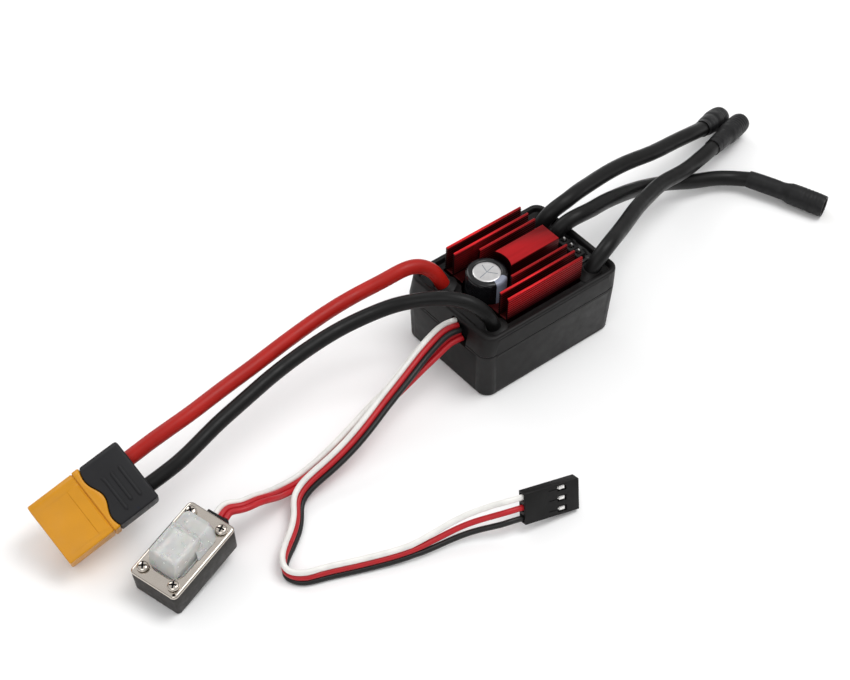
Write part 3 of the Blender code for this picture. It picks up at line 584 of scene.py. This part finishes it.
lead_red = lead("lead_power_red", "power_wire_red", red_route, "wire_red")
lead_black = lead("lead_power_black", "power_wire_black", black_route, "wire_black")
leads_motor = {key: lead("lead_motor_" + key, "motor_wire_" + key, route, "wire_black", MOTOR_WIRE)
               for key, route in motor_routes.items()}
ribbon_signal, signal_line = flat_lead("lead_ribbon_signal", "signal_ribbon", signal_route,
                                       ("ribbon_black", "ribbon_red", "ribbon_white"), 200, 158)
ribbon_switch, switch_line = flat_lead("lead_ribbon_switch", "switch_ribbon", switch_route,
                                       ("ribbon_red", "ribbon_red", "ribbon_white"), 110)

# Case: two shells that meet at the seam, with slightly raised panels on the long sides and on the lead side
LOW_TOP, HIGH_FOOT, RIM = 13.25, 13.55, 18.9
DECK = 17.4
CAN_AXIS = shift(-8.0, 0.4, 0.0)
FLAT_X, FLAT_Y = 17.9, 11.7
PANEL = 0.16
cuts_x = np.array([-17.30, -17.12, 17.12, 17.30]) / FLAT_X
cuts_y = np.array([-11.20, -11.02, 11.02, 11.20]) / FLAT_Y


def wall_ring(z, inset, half_x, half_y, corner=2.8, lean=0.0, middle=0.0):
    """A ring of the case's walls; lean moves its -X end along X."""
    ring = outline((middle - half_x + inset, middle + half_x - inset), (-half_y + inset, half_y - inset),
                   max(0.2, corner - inset), 8, cuts_x, cuts_y)
    ring[:, 0] += lean * np.clip(-ring[:, 0] / 12.0, 0.0, 1.0)
    return at_height(ring, z)


def raise_panels(rings, low, high, short_high):
    """Moves the panel areas outwards: the long sides from low to high, the -X side up to short_high."""
    for ring in rings:
        x, y, z = ring.T
        on_long = (np.abs(y) > np.abs(y).max() - 0.01) & (np.abs(x) < 17.18)
        on_short = (x < x.min() + 0.01) & (np.abs(y) < 11.06)
        y += np.sign(y) * PANEL * (on_long & (low < z[0] < high))
        x -= PANEL * (on_short & (low < z[0] < short_high))


def tub_ring(z, inset):
    share = z / LOW_TOP
    return wall_ring(z, inset, 19.75 + 0.95 * share, 14.3 + 0.2 * share)


low_rings = [tub_ring(z, inset) for z, inset in (
    (0.0, 0.55), (0.05, 0.28), (0.2, 0.1), (0.45, 0.0), (1.1, 0.0), (1.25, 0.0), (12.55, 0.0), (12.7, 0.0),
    (13.1, 0.0), (13.24, 0.03), (13.32, 0.1), (13.37, 0.2))]
raise_panels(low_rings, 1.2, 14.0, 12.6)
low_rings += [wall_ring(13.37, 0.0, 18.35, 12.95, 1.5), wall_ring(13.1, 0.0, 18.1, 12.7, 1.2),
              wall_ring(1.9, 0.0, 18.1, 12.7, 1.2), wall_ring(1.6, 0.3, 18.1, 12.7, 1.2)]
RIBBON_GAP = ((-23.0, -17.4), (-7.5, -1.6), (12.6, 17.9), 0.3, 0.3)
Piece("case_lower", "case_plastic").shell(loft(low_rings)).pocket(*RIBBON_GAP).build("case_tub")


def band_ring(z, inset):
    return wall_ring(z, inset, 20.7, 14.5, lean=1.1 * (z - HIGH_FOOT) / (RIM - HIGH_FOOT))


def recess_ring(z, grow):
    return wall_ring(z, -grow, 18.85, 13.2, 1.6, middle=0.55)


under = [wall_ring(z, inset, 19.0, 12.9, 1.4) for z, inset in ((15.8, 0.0), (13.6, 0.0), (13.43, -0.1))]
band = [band_ring(z, inset) for z, inset in (
    (13.43, 0.2), (13.48, 0.09), (13.56, 0.02), (13.7, 0.0), (17.9, 0.0), (18.05, 0.0), (18.3, 0.0),
    (18.56, 0.05), (18.74, 0.17), (18.85, 0.34), (18.9, 0.52))]
raise_panels(band, 13.0, 18.0, 13.0)
rim = [recess_ring(z, grow) for z, grow in (
    (18.9, 0.5), (18.86, 0.3), (18.76, 0.14), (18.6, 0.04), (18.4, 0.0), (17.75, 0.0), (17.55, -0.06),
    (17.45, -0.16), (17.4, -0.34))]
high = Piece("case_upper", "case_plastic").shell(loft(under + band + rim))
high.pocket((-11.7, 11.85), (-11.3, 11.6), (12.5, 20.0), 0.4, 0.05)
high.cut(hole(5.65, 12.4, 20.1, 56), CAN_AXIS)
high.pocket((13.0, 18.6), (-7.2, 10.9), (12.6, 20.2), 0.5, 0.05)
high.pocket(*RIBBON_GAP)
entries = [(frame_at((px, py, DECK), direction, (1.0, 0.0, 0.0)) @ LYING, rise, bore)
           for px, py, direction, rise, bore in (
               (-14.95, 7.45, (-1.3, 1.1, 3.7), 0.5, 2.05), (-14.55, -9.9, (-0.8, 0.5, 3.8), 0.2, 2.05),
               (14.75, -10.7, (0.7, 0.0, 3.5), 1.3, 2.23))]
for place, rise, bore in entries:
    high.cut(hole(bore, -3.0, 1.6, 36), place)
for place, rise, bore in entries:
    lip = ((0.0, -0.6), (1.25, -0.5), (0.65, 0.12 * rise), (0.2, 0.45 * rise), (-0.07, rise),
           (-0.25, 1.02 * rise), (-0.25, 0.0))
    high.shell(revolve([(bore + out, z) for out, z in lip], 36, loop=True), place)
high.build("case_cover")

# Potting: a lumpy fill in the motor slot that climbs a little round each lead
POTTING_TOP, POTTING_FOOT = 17.75, 14.9
random = np.random.default_rng(7)
grid_x = np.linspace(13.15, 18.45, 22)
grid_y = np.linspace(-7.05, 10.75, 66)
waves = random.uniform(-1, 1, (9, 4))
surface = np.zeros((len(grid_y), len(grid_x)))
for fx, fy, phase, height in waves:
    surface += 0.07 * height * np.sin(2.1 * fx * grid_x[None, :] + 2.4 * fy * grid_y[:, None] + 6 * phase)
for px, py in ((15.9, 8.25), (15.75, 3.5)):
    far = np.hypot(grid_x[None, :] - px, grid_y[:, None] - py)
    surface += 0.95 * np.exp(-((np.maximum(far - 1.75, 0.0)) / 0.75) ** 2)
surface += POTTING_TOP
surface += 0.8 * np.clip((grid_x[None, :] - 16.9) / 1.5, 0.0, 1.0) ** 2
deep, wide = surface.shape
index = np.arange(deep * wide).reshape(deep, wide)
top = np.column_stack([np.tile(grid_x, deep), np.repeat(grid_y, wide), surface.ravel()])
border = np.concatenate([index[0], index[1:, -1], index[-1, -2::-1], index[-2:0:-1, 0]]).tolist()
foot = np.column_stack([top[border][:, :2], np.full(len(border), POTTING_FOOT)])
below = list(range(len(top), len(top) + len(foot)))
faces = np.stack([index[:-1, :-1], index[:-1, 1:], index[1:, 1:], index[1:, :-1]], axis=2).reshape(-1, 4).tolist()
faces += list(zip(border, below, below[1:] + below[:1], border[1:] + border[:1])) + [tuple(below)]
fill = Piece("motor_fill", "potting").shell((np.vstack([top, foot]), faces))
fill.pocket((14.45, 17.25), (-6.35, 1.27), (14.0, 20.0), 0.2, 0.05)
fill.build("motor_potting", sharp=70.0)

Piece("ribbon_seal", "soft_black").block((-18.7, -17.5), (-7.45, -1.65), (12.7, 17.8), 0.5, 0.3).build("ribbon_grommet")

# Three-pin port
port = Piece("port_shell", "plug_black").block((14.6, 17.1), (-6.2, 1.12), (14.6, 19.3), 0.15, 0.12)
PORT_PLACES = (-5.08, -2.54, 0.0)
for py in PORT_PLACES:
    port.pocket((15.25, 16.45), (py - 0.6, py + 0.6), (16.5, 20.0), 0.08, 0.05)
    port.pocket((14.3, 17.4), (py + 1.17, py + 1.37), (18.8, 20.0), 0.02, 0.01)
port.build("port_housing")
for number, py in enumerate(PORT_PLACES, 1):
    pin = Piece("port_post_%d" % number, "contact_steel")
    rings = [at_height(outline((15.85 - h, 15.85 + h), (py - h, py + h), 0.06, 3), z)
             for h, z in ((0.32, 11.5), (0.32, 19.9), (0.27, 20.12), (0.16, 20.3))]
    pin.shell(loft(rings)).build("port_pin_%d" % number, slot="gold")

# Heat sink: one extruded section with fine ribs on the fins, cut away round the capacitor
SINK_TOP, SINK_FLOOR, SINK_FOOT = 24.7, 18.0, 14.0
FINS = ((-10.9, -10.3), (-8.3, -7.7), (-5.65, -5.05), (-2.7, 3.2), (5.5, 6.1), (8.0, 8.6), (10.6, 11.2))
RIB_PITCH, RIB_DEPTH = 0.66, 0.2


def ribbed(y, side, low, high):
    """Points up a fin's face, whose outside is towards side, with half-round ribs."""
    points = []
    count = int((high - low) / RIB_PITCH)
    for k in range(count):
        foot = low + (high - low) * k / count
        for share, rise in ((0.04, 0.0), (0.22, 0.75), (0.5, 1.0), (0.78, 0.75), (0.96, 0.0)):
            points.append((y + side * (rise - 0.6) * RIB_DEPTH, foot + share * (high - low) / count))
    return points


section = []
for number, (y0, y1) in enumerate(FINS):
    block = y1 - y0 > 2
    base = SINK_FOOT if number == 0 else SINK_FLOOR
    section.append((y0, base))
    if not block:
        section += ribbed(y0, -1, SINK_FLOOR + 0.25, SINK_TOP - 0.3)
    section += [(y0, SINK_TOP - 0.12), (y0 + 0.12, SINK_TOP), (y1 - 0.12, SINK_TOP), (y1, SINK_TOP - 0.12)]
    if not block:
        section += ribbed(y1, 1, SINK_FLOOR + 0.25, SINK_TOP - 0.3)[::-1]
    section.append((y1, SINK_FOOT if number == len(FINS) - 1 else SINK_FLOOR))
section = np.array(section)[::-1]
sink_rings = []
for px, grow in ((-11.3, -0.07), (-11.22, 0.0), (11.37, 0.0), (11.45, -0.07)):
    ring = offset(section, grow)
    sink_rings.append(np.column_stack([np.full(len(ring), px), ring]))
sink = Piece("sink_body", "sink_red").shell(loft(sink_rings))
for y in ((5.2, 8.0), (-6.0, -2.7)):
    sink.pocket((-13.5, -5.7), y, (SINK_FLOOR, 27.0), 0.1, 0.02)
sink.cut(hole(5.6, 12.0, 28.0, 72), shift(-8.1, 0.3, 0.0))
sink.build("heat_sink", sharp=42.0)

# Capacitor: film jacket rolled over the can's scored top
jacket = Piece("can_jacket", "can_film").shell(revolve([
    (4.6, 7.8), (4.9, 7.85), (4.95, 8.1), (4.95, 12.0), (4.95, 22.3), (4.9, 22.65), (4.78, 22.92), (4.55, 23.1),
    (4.2, 23.2), (3.75, 23.2), (3.5, 23.13), (3.32, 22.98), (3.3, 22.86), (3.6, 22.8), (4.35, 22.78),
    (4.6, 22.4)], 80, loop=True), CAN_AXIS)
jacket.build("capacitor_sleeve", sharp=50.0)
metal = Piece("can_shell", "can_metal", "pad_grey").shell(revolve([
    (4.0, 8.4), (4.3, 8.5), (4.3, 22.5), (4.1, 22.72), (3.4, 22.8), (3.28, 22.98), (3.1, 23.04), (2.6, 23.0),
    (1.2, 22.96)], 72), CAN_AXIS)
# The score grooves' walls take the grey look: painted shade in the grooves.
for angle, reach in ((12, 2), (75, 1), (-52, 1)):
    x_low = -2.55 if reach == 2 else -0.1
    metal.cut(rounded((x_low, 2.55), (-0.1, 0.1), (22.84, 24.0), 0.05, 0.02, 2),
              CAN_AXIS @ Matrix.Rotation(np.radians(angle), 4, "Z"), look=1)
metal.build("capacitor_can")

# Power plug: X from the mouth towards the leads
WAVE = ((-8.0, 13.4), (-6.4, 12.9), (-4.9, 12.7), (-3.3, 13.1), (-1.6, 13.9), (0.0, 14.2), (1.6, 13.8),
        (3.2, 13.1), (4.8, 12.8), (6.4, 13.0), (8.0, 13.5))
PLUG_Z, PLUG_ROUND = 4.05, 0.4
PLUG_CORNERS = np.array([(-7.4, -PLUG_Z), (6.95, -PLUG_Z), (8.0, 1.05 - PLUG_Z), (8.0, PLUG_Z - 1.05),
                         (6.95, PLUG_Z), (-7.4, PLUG_Z)])
PLUG_LEADS = (3.6, -3.6)


def plug_ring(x, grow=0.0, rise=0.0):
    """A ring of the plug, a slab with two cut corners on its +Y side and rounded edges; rise lifts the panel
    on its two broad faces. x is one number or one for each point."""
    points = []
    for before, here, after in zip(np.roll(PLUG_CORNERS, 1, axis=0), PLUG_CORNERS,
                                   np.roll(PLUG_CORNERS, -1, axis=0)):
        back = here + (before - here) * PLUG_ROUND / np.linalg.norm(before - here)
        ahead = (after - here) * PLUG_ROUND / np.linalg.norm(after - here)
        points += [(1 - t) ** 2 * back + 2 * t * (1 - t) * here + t * t * (here + ahead)
                   for t in np.linspace(0, 1, 5)]
        if abs(after[0] - here[0]) > 10:
            points += list(np.linspace(here + ahead, after - ahead, 42)[1:-1])
    y, z = offset(np.array(points), grow).T
    panel = (np.abs(np.abs(z) - PLUG_Z) < 0.01) & (y > -6.2) & (y < 5.3)
    return np.column_stack([np.broadcast_to(x, len(y)), y, z + np.sign(z) * rise * panel])


dense = smooth_path([(y, x, 0.0) for y, x in WAVE], 81)
edge = np.interp(plug_ring(0.0)[:, 1], dense[:, 0], dense[:, 1])
body_rings = [plug_ring(*sizes) for sizes in (
    (8.6, -1.4), (0.7, -1.25), (0.25, -1.05), (0.0, -0.75), (0.0, -0.32), (0.1, -0.1), (0.35,), (8.55,),
    (8.7, 0.0, 0.16), (11.1, 0.0, 0.16), (11.25,), (11.4,), (11.5, -0.22), (11.66, -0.22), (11.76, 0.1),
    (11.9, 0.16), (edge - 0.35, 0.16), (edge - 0.12, 0.06), (edge, -0.18), (edge, -1.2))]
amber = Piece("plug_housing", "plug_amber", place=plug_frame).shell(loft(body_rings))
for py in PLUG_LEADS:
    amber.cut(hole(2.3, 6.0, 16.0, 32), shift(0, py, 0) @ LYING)
amber.build("plug_body", sharp=32.0)

grip_rings = [plug_ring(*sizes) for sizes in (
    (edge + 0.12, -1.4), (edge + 0.12, -0.3), (edge + 0.3, -0.05), (edge + 0.6, 0.02), (20.5,), (22.6, -0.04),
    (23.05, -0.12), (23.3, -0.32), (23.4, -0.65))]
grip = Piece("plug_grip", "sheath_grey", place=plug_frame).shell(loft(grip_rings))
for px, kink, y0, y1 in ((20.6, 0.0, -5.0, 3.3), (18.4, 0.0, -4.6, 3.1), (16.45, 0.5, -5.7, 3.4)):
    for face in (1, -1):
        stretch = np.linspace(y0, y1, 30)
        taper = np.clip(np.minimum(stretch - y0, y1 - stretch) / 0.5, 0.04, 1.0) ** 0.5
        line = np.column_stack([px - kink * np.clip((stretch - 2.5) / 0.9, 0.0, 1.0), stretch,
                                np.full(30, face * 4.0)])
        grip.shell(swept(line, 0.3 * taper, 12, 1.5))
for py in PLUG_LEADS:
    ring = revolve([(1.8, -0.6), (2.3, -0.5), (2.3, 0.0), (2.2, 0.1), (2.0, 0.12), (1.8, 0.02)], 36, loop=True)
    grip.shell(ring, shift(23.4, py, 0) @ LYING)
grip.build("plug_sheath", sharp=40.0)
for key, py in zip(("positive", "negative"), PLUG_LEADS):
    pin = Piece("plug_bullet_" + key, "gold", place=plug_frame @ shift(0, py, 0) @ LYING).shell(revolve([
        (0.9, 1.6), (1.3, 1.75), (1.6, 2.2), (1.75, 3.0), (1.82, 5.5), (1.75, 9.0), (1.75, 14.2), (2.2, 14.5),
        (2.3, 14.8), (2.3, 18.7), (2.1, 19.0)], 40))
    for turn in (0, 90):
        slit = rounded((-0.14, 0.14), (-3.0, 3.0), (1.0, 8.0), 0.05, 0.03, 2)
        pin.cut(slit, Matrix.Rotation(np.radians(turn), 4, "Z"))
    pin.build("plug_pin_" + key)

# Servo plug: X towards its mouth, -Y the side with the windows
servo = Piece("servo_shell", "plug_black", place=servo_frame)
servo.block((-7.0, 7.0), (-1.27, 1.27), (-3.8, 3.8), 0.22, 0.2)
servo.block((-6.95, -2.9), (-1.2, 1.2), (3.4, 4.02), 0.2, 0.12)
SERVO_PLACES = (2.54, 0.0, -2.54)
for pz in SERVO_PLACES:
    servo.pocket((-8.0, 5.6), (-0.87, 0.87), (pz - 0.87, pz + 0.87), 0.1, 0.1)
    servo.pocket((5.0, 8.0), (-0.45, 0.45), (pz - 0.45, pz + 0.45), 0.06, 0.06)
    servo.pocket((1.4, 3.7), (-2.0, 0.2), (pz - 0.55, pz + 0.85), 0.08, 0.05)
    servo.pocket((-0.9, 2.0), (-2.0, -1.05), (pz + 0.1, pz + 0.26), 0.02, 0.02, 2)
servo.build("servo_plug")
for number, pz in enumerate(SERVO_PLACES, 1):
    contact = Piece("servo_tab_%d" % number, "contact_steel", place=servo_frame)
    contact.block((-4.6, 5.5), (-0.6, 0.6), (pz - 0.6, pz + 0.6), 0.15, 0.12)
    contact.block((1.9, 3.45), (-1.0, -0.3), (pz - 0.42, pz + 0.62), 0.15, 0.18)
    contact.block((1.55, 2.4), (-0.85, -0.3), (pz - 0.1, pz + 0.35), 0.1, 0.1)
    contact.build("servo_contact_%d" % number)


# Motor sleeves: shrunk tube over a bullet socket
def sleeve(key, profile, bend=0.0):
    """The sleeve and its socket past that lead's end; the profile is (share of the length, radius) points."""
    start = smooth_path(motor_routes[key], 60)[-1]
    way = np.array(sleeve_ends[key]) - start
    length = float(np.linalg.norm(way))
    place = frame_at(start, way, (0, 0, 1))
    shares, radii = np.array(profile).T
    fine = np.linspace(0.0, length, 280)
    radii = np.pad(np.interp(fine, shares * length, radii), 6, mode="edge")
    radii = np.convolve(radii, np.ones(13) / 13, mode="valid")
    side = np.interp(fine, shares * length, bend * np.sin(np.pi * shares))
    turn = np.linspace(0, 2 * np.pi, 40, endpoint=False)
    phases = np.random.default_rng(sum(map(ord, key))).uniform(0, 6.28, 4)

    def ring(x, radius, y=0.0):
        return np.column_stack([np.full(40, x), y + radius * np.cos(turn), radius * np.sin(turn)])

    rings = [ring(x, radius) for x, radius in (
        (0.78, 0.05), (0.72, 1.6), (0.5, 1.98), (-0.3, 2.07), (-0.36, 2.13))]
    for i in np.linspace(0, 279, 70).astype(int):
        x = fine[i]
        banded = np.clip(9 * (x / length - 0.62), 0, 1) * np.clip(9 * (0.97 - x / length), 0, 1)
        uneven = 1 + 0.014 * np.sin(2 * turn + phases[0] + 0.35 * x)
        uneven = uneven + 0.008 * np.sin(5 * turn + phases[1] - 0.6 * x)
        rings.append(ring(x, (radii[i] + 0.045 * np.cos(6.2 * x) * banded) * uneven, side[i]))
    rings += [ring(x, radius) for x, radius in (
        (length + 0.02, 2.4), (length - 0.15, 2.12), (length - 3.0, 2.12), (3.9, 2.12), (3.6, 0.05))]
    made = Piece("sleeve_motor_" + key, "heat_shrink", place=place).shell(loft(rings))
    socket = Piece("socket_motor_" + key, "gold", place=place).shell(revolve([
        (1.5, 3.9), (1.9, 4.0), (1.9, length - 0.9), (1.82, length - 0.7), (1.5, length - 0.7),
        (1.45, length - 0.95), (1.45, 4.1)], 40, loop=True), LYING)
    return [made.build("motor_sleeve_" + key, sharp=50.0), socket.build("motor_socket_" + key)]


sleeves = {
    "a": sleeve("a", ((0.0, 2.12), (0.05, 2.2), (0.1, 2.14), (0.18, 2.4), (0.3, 2.5), (0.46, 2.5), (0.53, 2.74),
                      (0.6, 2.8), (0.92, 2.8), (0.98, 2.72), (1.0, 2.55))),
    "b": sleeve("b", ((0.0, 2.12), (0.02, 2.17), (0.3, 2.26), (0.36, 2.26), (0.42, 2.2), (0.48, 2.36),
                      (0.54, 2.72), (0.6, 2.74), (0.9, 2.76), (0.98, 2.7), (1.0, 2.58)), 0.25),
    "c": sleeve("c", ((0.0, 2.1), (0.04, 2.18), (0.08, 2.12), (0.13, 2.28), (0.4, 2.34), (0.44, 2.42),
                      (0.49, 2.64), (0.6, 2.68), (0.92, 2.7), (0.98, 2.62), (1.0, 2.5))),
}

# Switch box: X towards its lead
base = Piece("switch_tray", "switch_dark", place=switch_frame)
base.block((-10.2, 10.2), (-6.12, 6.12), (0.0, 6.55), 0.9, 0.25, 5, (-0.12, -0.08))
base.pocket((-7.9, 7.9), (-4.8, 4.8), (3.25, 8.0), 0.5, 0.2)
base.pocket((6.8, 13.0), (-3.15, 2.1), (3.8, 8.5), 0.3, 0.1)
base.build("switch_base")


def chamfered(x, y, cut, flip=(1, 1), soft=0.35):
    """A rectangle with its corners cut off and each turn slightly rounded. With flip (-1, 1) its two -X corners
    reach back by the cut instead, as two tails."""
    points = []
    for tip, ahead in (((x[1], y[0]), (1, 0)), ((x[1], y[1]), (0, 1)), ((x[0], y[1]), (-1, 0)),
                       ((x[0], y[0]), (0, -1))):
        turned = flip if tip[0] == x[0] else (1, 1)
        left = np.multiply((-ahead[1], ahead[0]), turned)
        ahead = np.multiply(ahead, turned)
        first, last = tip - ahead * cut, tip + left * cut
        way = (last - first) / np.linalg.norm(last - first)
        points += [first - ahead * soft, *np.linspace(first + way * soft, last - way * soft, 6),
                   last + left * soft]
    return np.array(points)


def even_outline(points, count=200):
    """The closed outline as so many points, spread evenly from where it crosses the +X axis."""
    closed = np.vstack([points, points[:1]])
    turn = np.unwrap(np.arctan2(closed[:, 1], closed[:, 0]))
    want = np.linspace(0, 2 * np.pi, count, endpoint=False)
    wrapped = turn[0] + np.mod(want - turn[0], 2 * np.pi)
    return resample(wrapped, turn, closed)


rail = [at_height(even_outline(outline((i - 10.45, 10.45 - i), (i - 6.3, 6.3 - i), max(0.2, 1.15 - i), 9)), z)
        for i, z in ((0.25, 6.6), (0.05, 6.65), (0.0, 6.8), (0.05, 7.0), (0.2, 7.21), (0.42, 7.32),
                     (0.7, 7.35))]
# The plate's opening: its four corners are cut off, clear of the screws
opening = chamfered((-7.1, 7.6), (-4.3, 4.3), 2.0)
rail += [at_height(even_outline(offset(opening, grow)), z)
         for grow, z in ((0.5, 7.35), (0.34, 7.4), (0.16, 7.38), (0.0, 7.26), (-0.05, 7.05), (0.0, 6.7))]
cover = Piece("switch_cover", "nickel", place=switch_frame).shell(loft(rail, loop=True))
SCREWS = ((-8.1, -4.15), (8.1, -4.15), (8.1, 4.15), (-8.1, 4.15))
for px, py in SCREWS:
    cover.cut(hole(0.95, 5.0, 9.0, 28), shift(px, py, 0))
cover.cut(hole(0.34, 5.0, 9.0, 20), shift(-9.6, -5.4, 0))
cover.build("switch_plate")
for number, ((px, py), turn) in enumerate(zip(SCREWS, (28, 12, 50, 35)), 1):
    place = switch_frame @ shift(px, py, 2.05) @ Matrix.Rotation(np.radians(turn), 4, "Z")
    screw = Piece("box_screw_%d" % number, "nickel", "soft_black", place=place).shell(revolve([
        (0.5, 2.0), (0.65, 2.15), (0.65, 5.5), (1.2, 5.52), (1.3, 5.62), (1.33, 5.8), (1.27, 6.0), (1.12, 6.16),
        (0.85, 6.29), (0.5, 6.36), (0.2, 6.38)], 40))
    # The cross recess takes the black look: painted shade in the recess.
    for x, y in (((-0.85, 0.85), (-0.2, 0.2)), ((-0.2, 0.2), (-0.85, 0.85))):
        screw.cut(rounded(x, y, (5.7, 7.0), 0.05, 0.04, 2), look=1)
    screw.build("switch_screw_%d" % number)

# The boot: a tall hood over the lever and a low one over the button
boot = Piece("switch_hood", "boot_silicone", place=switch_frame)
tall = [at_height(outline((x0, x1), (y0, y1), corner), z) for x0, x1, y0, y1, corner, z in (
    (-6.75, 2.8, -3.6, 3.75, 1.9, 6.1), (-6.75, 2.8, -3.6, 3.75, 1.9, 7.42), (-6.75, 2.8, -3.6, 3.8, 0.5, 7.5),
    (-6.4, 2.8, -3.6, 3.85, 0.45, 8.8), (-6.0, 2.78, -3.55, 3.9, 0.42, 10.1),
    (-5.72, 2.75, -3.5, 3.95, 0.42, 11.1), (-5.62, 2.7, -3.42, 3.95, 0.42, 11.42),
    (-5.48, 2.6, -3.3, 3.85, 0.4, 11.58), (-5.3, 2.45, -3.12, 3.7, 0.36, 11.65),
    (-5.0, 2.15, -2.85, 3.4, 0.34, 11.66),
    (-4.85, 2.0, -2.7, 3.25, 0.32, 11.56), (-4.6, 1.75, -2.45, 3.0, 0.3, 11.5))]
low_hood = [at_height(chamfered((2.0, x1), (y0, y1), corner, (-1, 1)), z) for x1, y0, y1, corner, z in (
    (7.4, -4.2, 3.9, 1.9, 6.1), (7.4, -4.2, 3.9, 1.9, 7.42), (7.45, -4.75, 4.2, 1.9, 7.5),
    (7.45, -4.62, 4.25, 1.85, 7.9), (7.45, -4.15, 4.25, 1.6, 8.45), (7.42, -3.3, 4.3, 1.15, 9.1),
    (7.38, -2.62, 4.3, 0.8, 9.5), (7.28, -2.35, 4.22, 0.7, 9.66), (7.1, -2.15, 4.05, 0.66, 9.72),
    (6.8, -1.85, 3.75, 0.62, 9.74))]
boot.shell(loft(tall))
boot.join(loft(low_hood))
boot.join(rounded((-7.7, 7.7), (-4.5, 4.5), (5.85, 6.45), 0.6, 0.15))
boot.pocket((-5.6, 2.0), (-2.8, 2.8), (5.0, 10.9), 0.8, 0.6)
boot.pocket((2.9, 6.8), (-2.6, 2.8), (5.1, 8.6), 0.8, 0.4)
boot.build("switch_boot", sharp=50.0)
gland = Piece("ribbon_gland", "soft_black", place=switch_frame)
gland.block((8.1, 11.15), (-3.05, 1.9), (4.1, 6.35), 0.35, 0.2)
gland.block((10.35, 11.2), (-3.6, 1.95), (5.2, 6.5), 0.2, 0.15)
gland.build("switch_gland")

# CAD nodes that stay, with their own finishes and softened edges
KEPT = {
    "board": ("power_board", "control_board", "switch_board"),
    "chip": ("power_stage_a", "power_stage_b", "power_stage_c", "processor", "gate_driver", "regulator"),
    "pad_grey": ("thermal_pad",), "soft_black": ("capacitor_bung", "set_button"), "led_clear": ("status_led",),
    "contact_steel": ("slide_switch",), "plug_black": ("button_body",), "knob_white": ("switch_lever",),
}
for name, look in [(name, look) for look, names in KEPT.items() for name in names]:
    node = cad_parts[name]
    for slot in node.material_slots:
        slot.material = LOOKS[look]
    weld = node.modifiers.new("weld", "WELD")
    weld.merge_threshold = 0.00001
    merge = node.modifiers.new("merge", "DECIMATE")
    merge.decimate_type = "DISSOLVE"
    merge.angle_limit = np.radians(1.0)
    soften = node.modifiers.new("soften", "BEVEL")
    soften.width = 0.00012
    soften.segments = 2
    soften.limit_method = "ANGLE"
    soften.angle_limit = np.radians(40)


# Floor and light
floor_mesh = bpy.data.meshes.new("floor")
floor_mesh.from_pydata([(-4, -4, 0), (4, -4, 0), (4, 4, 0), (-4, 4, 0)], [], [(0, 1, 2, 3)])
floor = bpy.data.objects.new("floor", floor_mesh)
paper = Finish("floor_paper", (0.93, 0.93, 0.93), 0.8, 0.1, (0.004, 0.05))
floor_mesh.materials.append(paper.material)
scene.collection.objects.link(floor)

world = bpy.data.worlds.new("studio")
scene.world = world
world.use_nodes = True
sky = world.node_tree
height = sky.nodes.new("ShaderNodeSeparateXYZ")
sky.links.new(sky.nodes.new("ShaderNodeTexCoord").outputs["Generated"], height.inputs[0])
glow = sky.nodes.new("ShaderNodeMapRange")
sky.links.new(height.outputs["Z"], glow.inputs["Value"])
for socket, number in (("From Min", 0.0), ("From Max", 0.6), ("To Min", 0.16), ("To Max", 0.8)):
    glow.inputs[socket].default_value = number
sky.links.new(glow.outputs["Result"], sky.nodes["Background"].inputs["Strength"])
sky.nodes["Background"].inputs["Color"].default_value = (1.0, 1.0, 1.0, 1.0)


for name, place, size, power in (("key", (0.30, -0.20, 0.95), 0.55, 4.2), ("fill", (-0.65, -0.35, 0.65), 0.5, 1.2),
                                 ("back", (-0.05, 0.80, 0.60), 0.5, 1.8)):
    data = bpy.data.lights.new(name, "AREA")
    data.shape = "SQUARE"
    data.size = size
    data.energy = power
    light = bpy.data.objects.new(name, data)
    scene.collection.objects.link(light)
    light.location = place
    light.rotation_mode = "QUATERNION"
    light.rotation_quaternion = (Vector((-0.02, 0.0, 0.0)) - Vector(place)).to_track_quat("-Z", "Y")
scene.view_settings.view_transform = "Standard"
scene.view_settings.look = "None"
scene.view_settings.exposure = 0.0
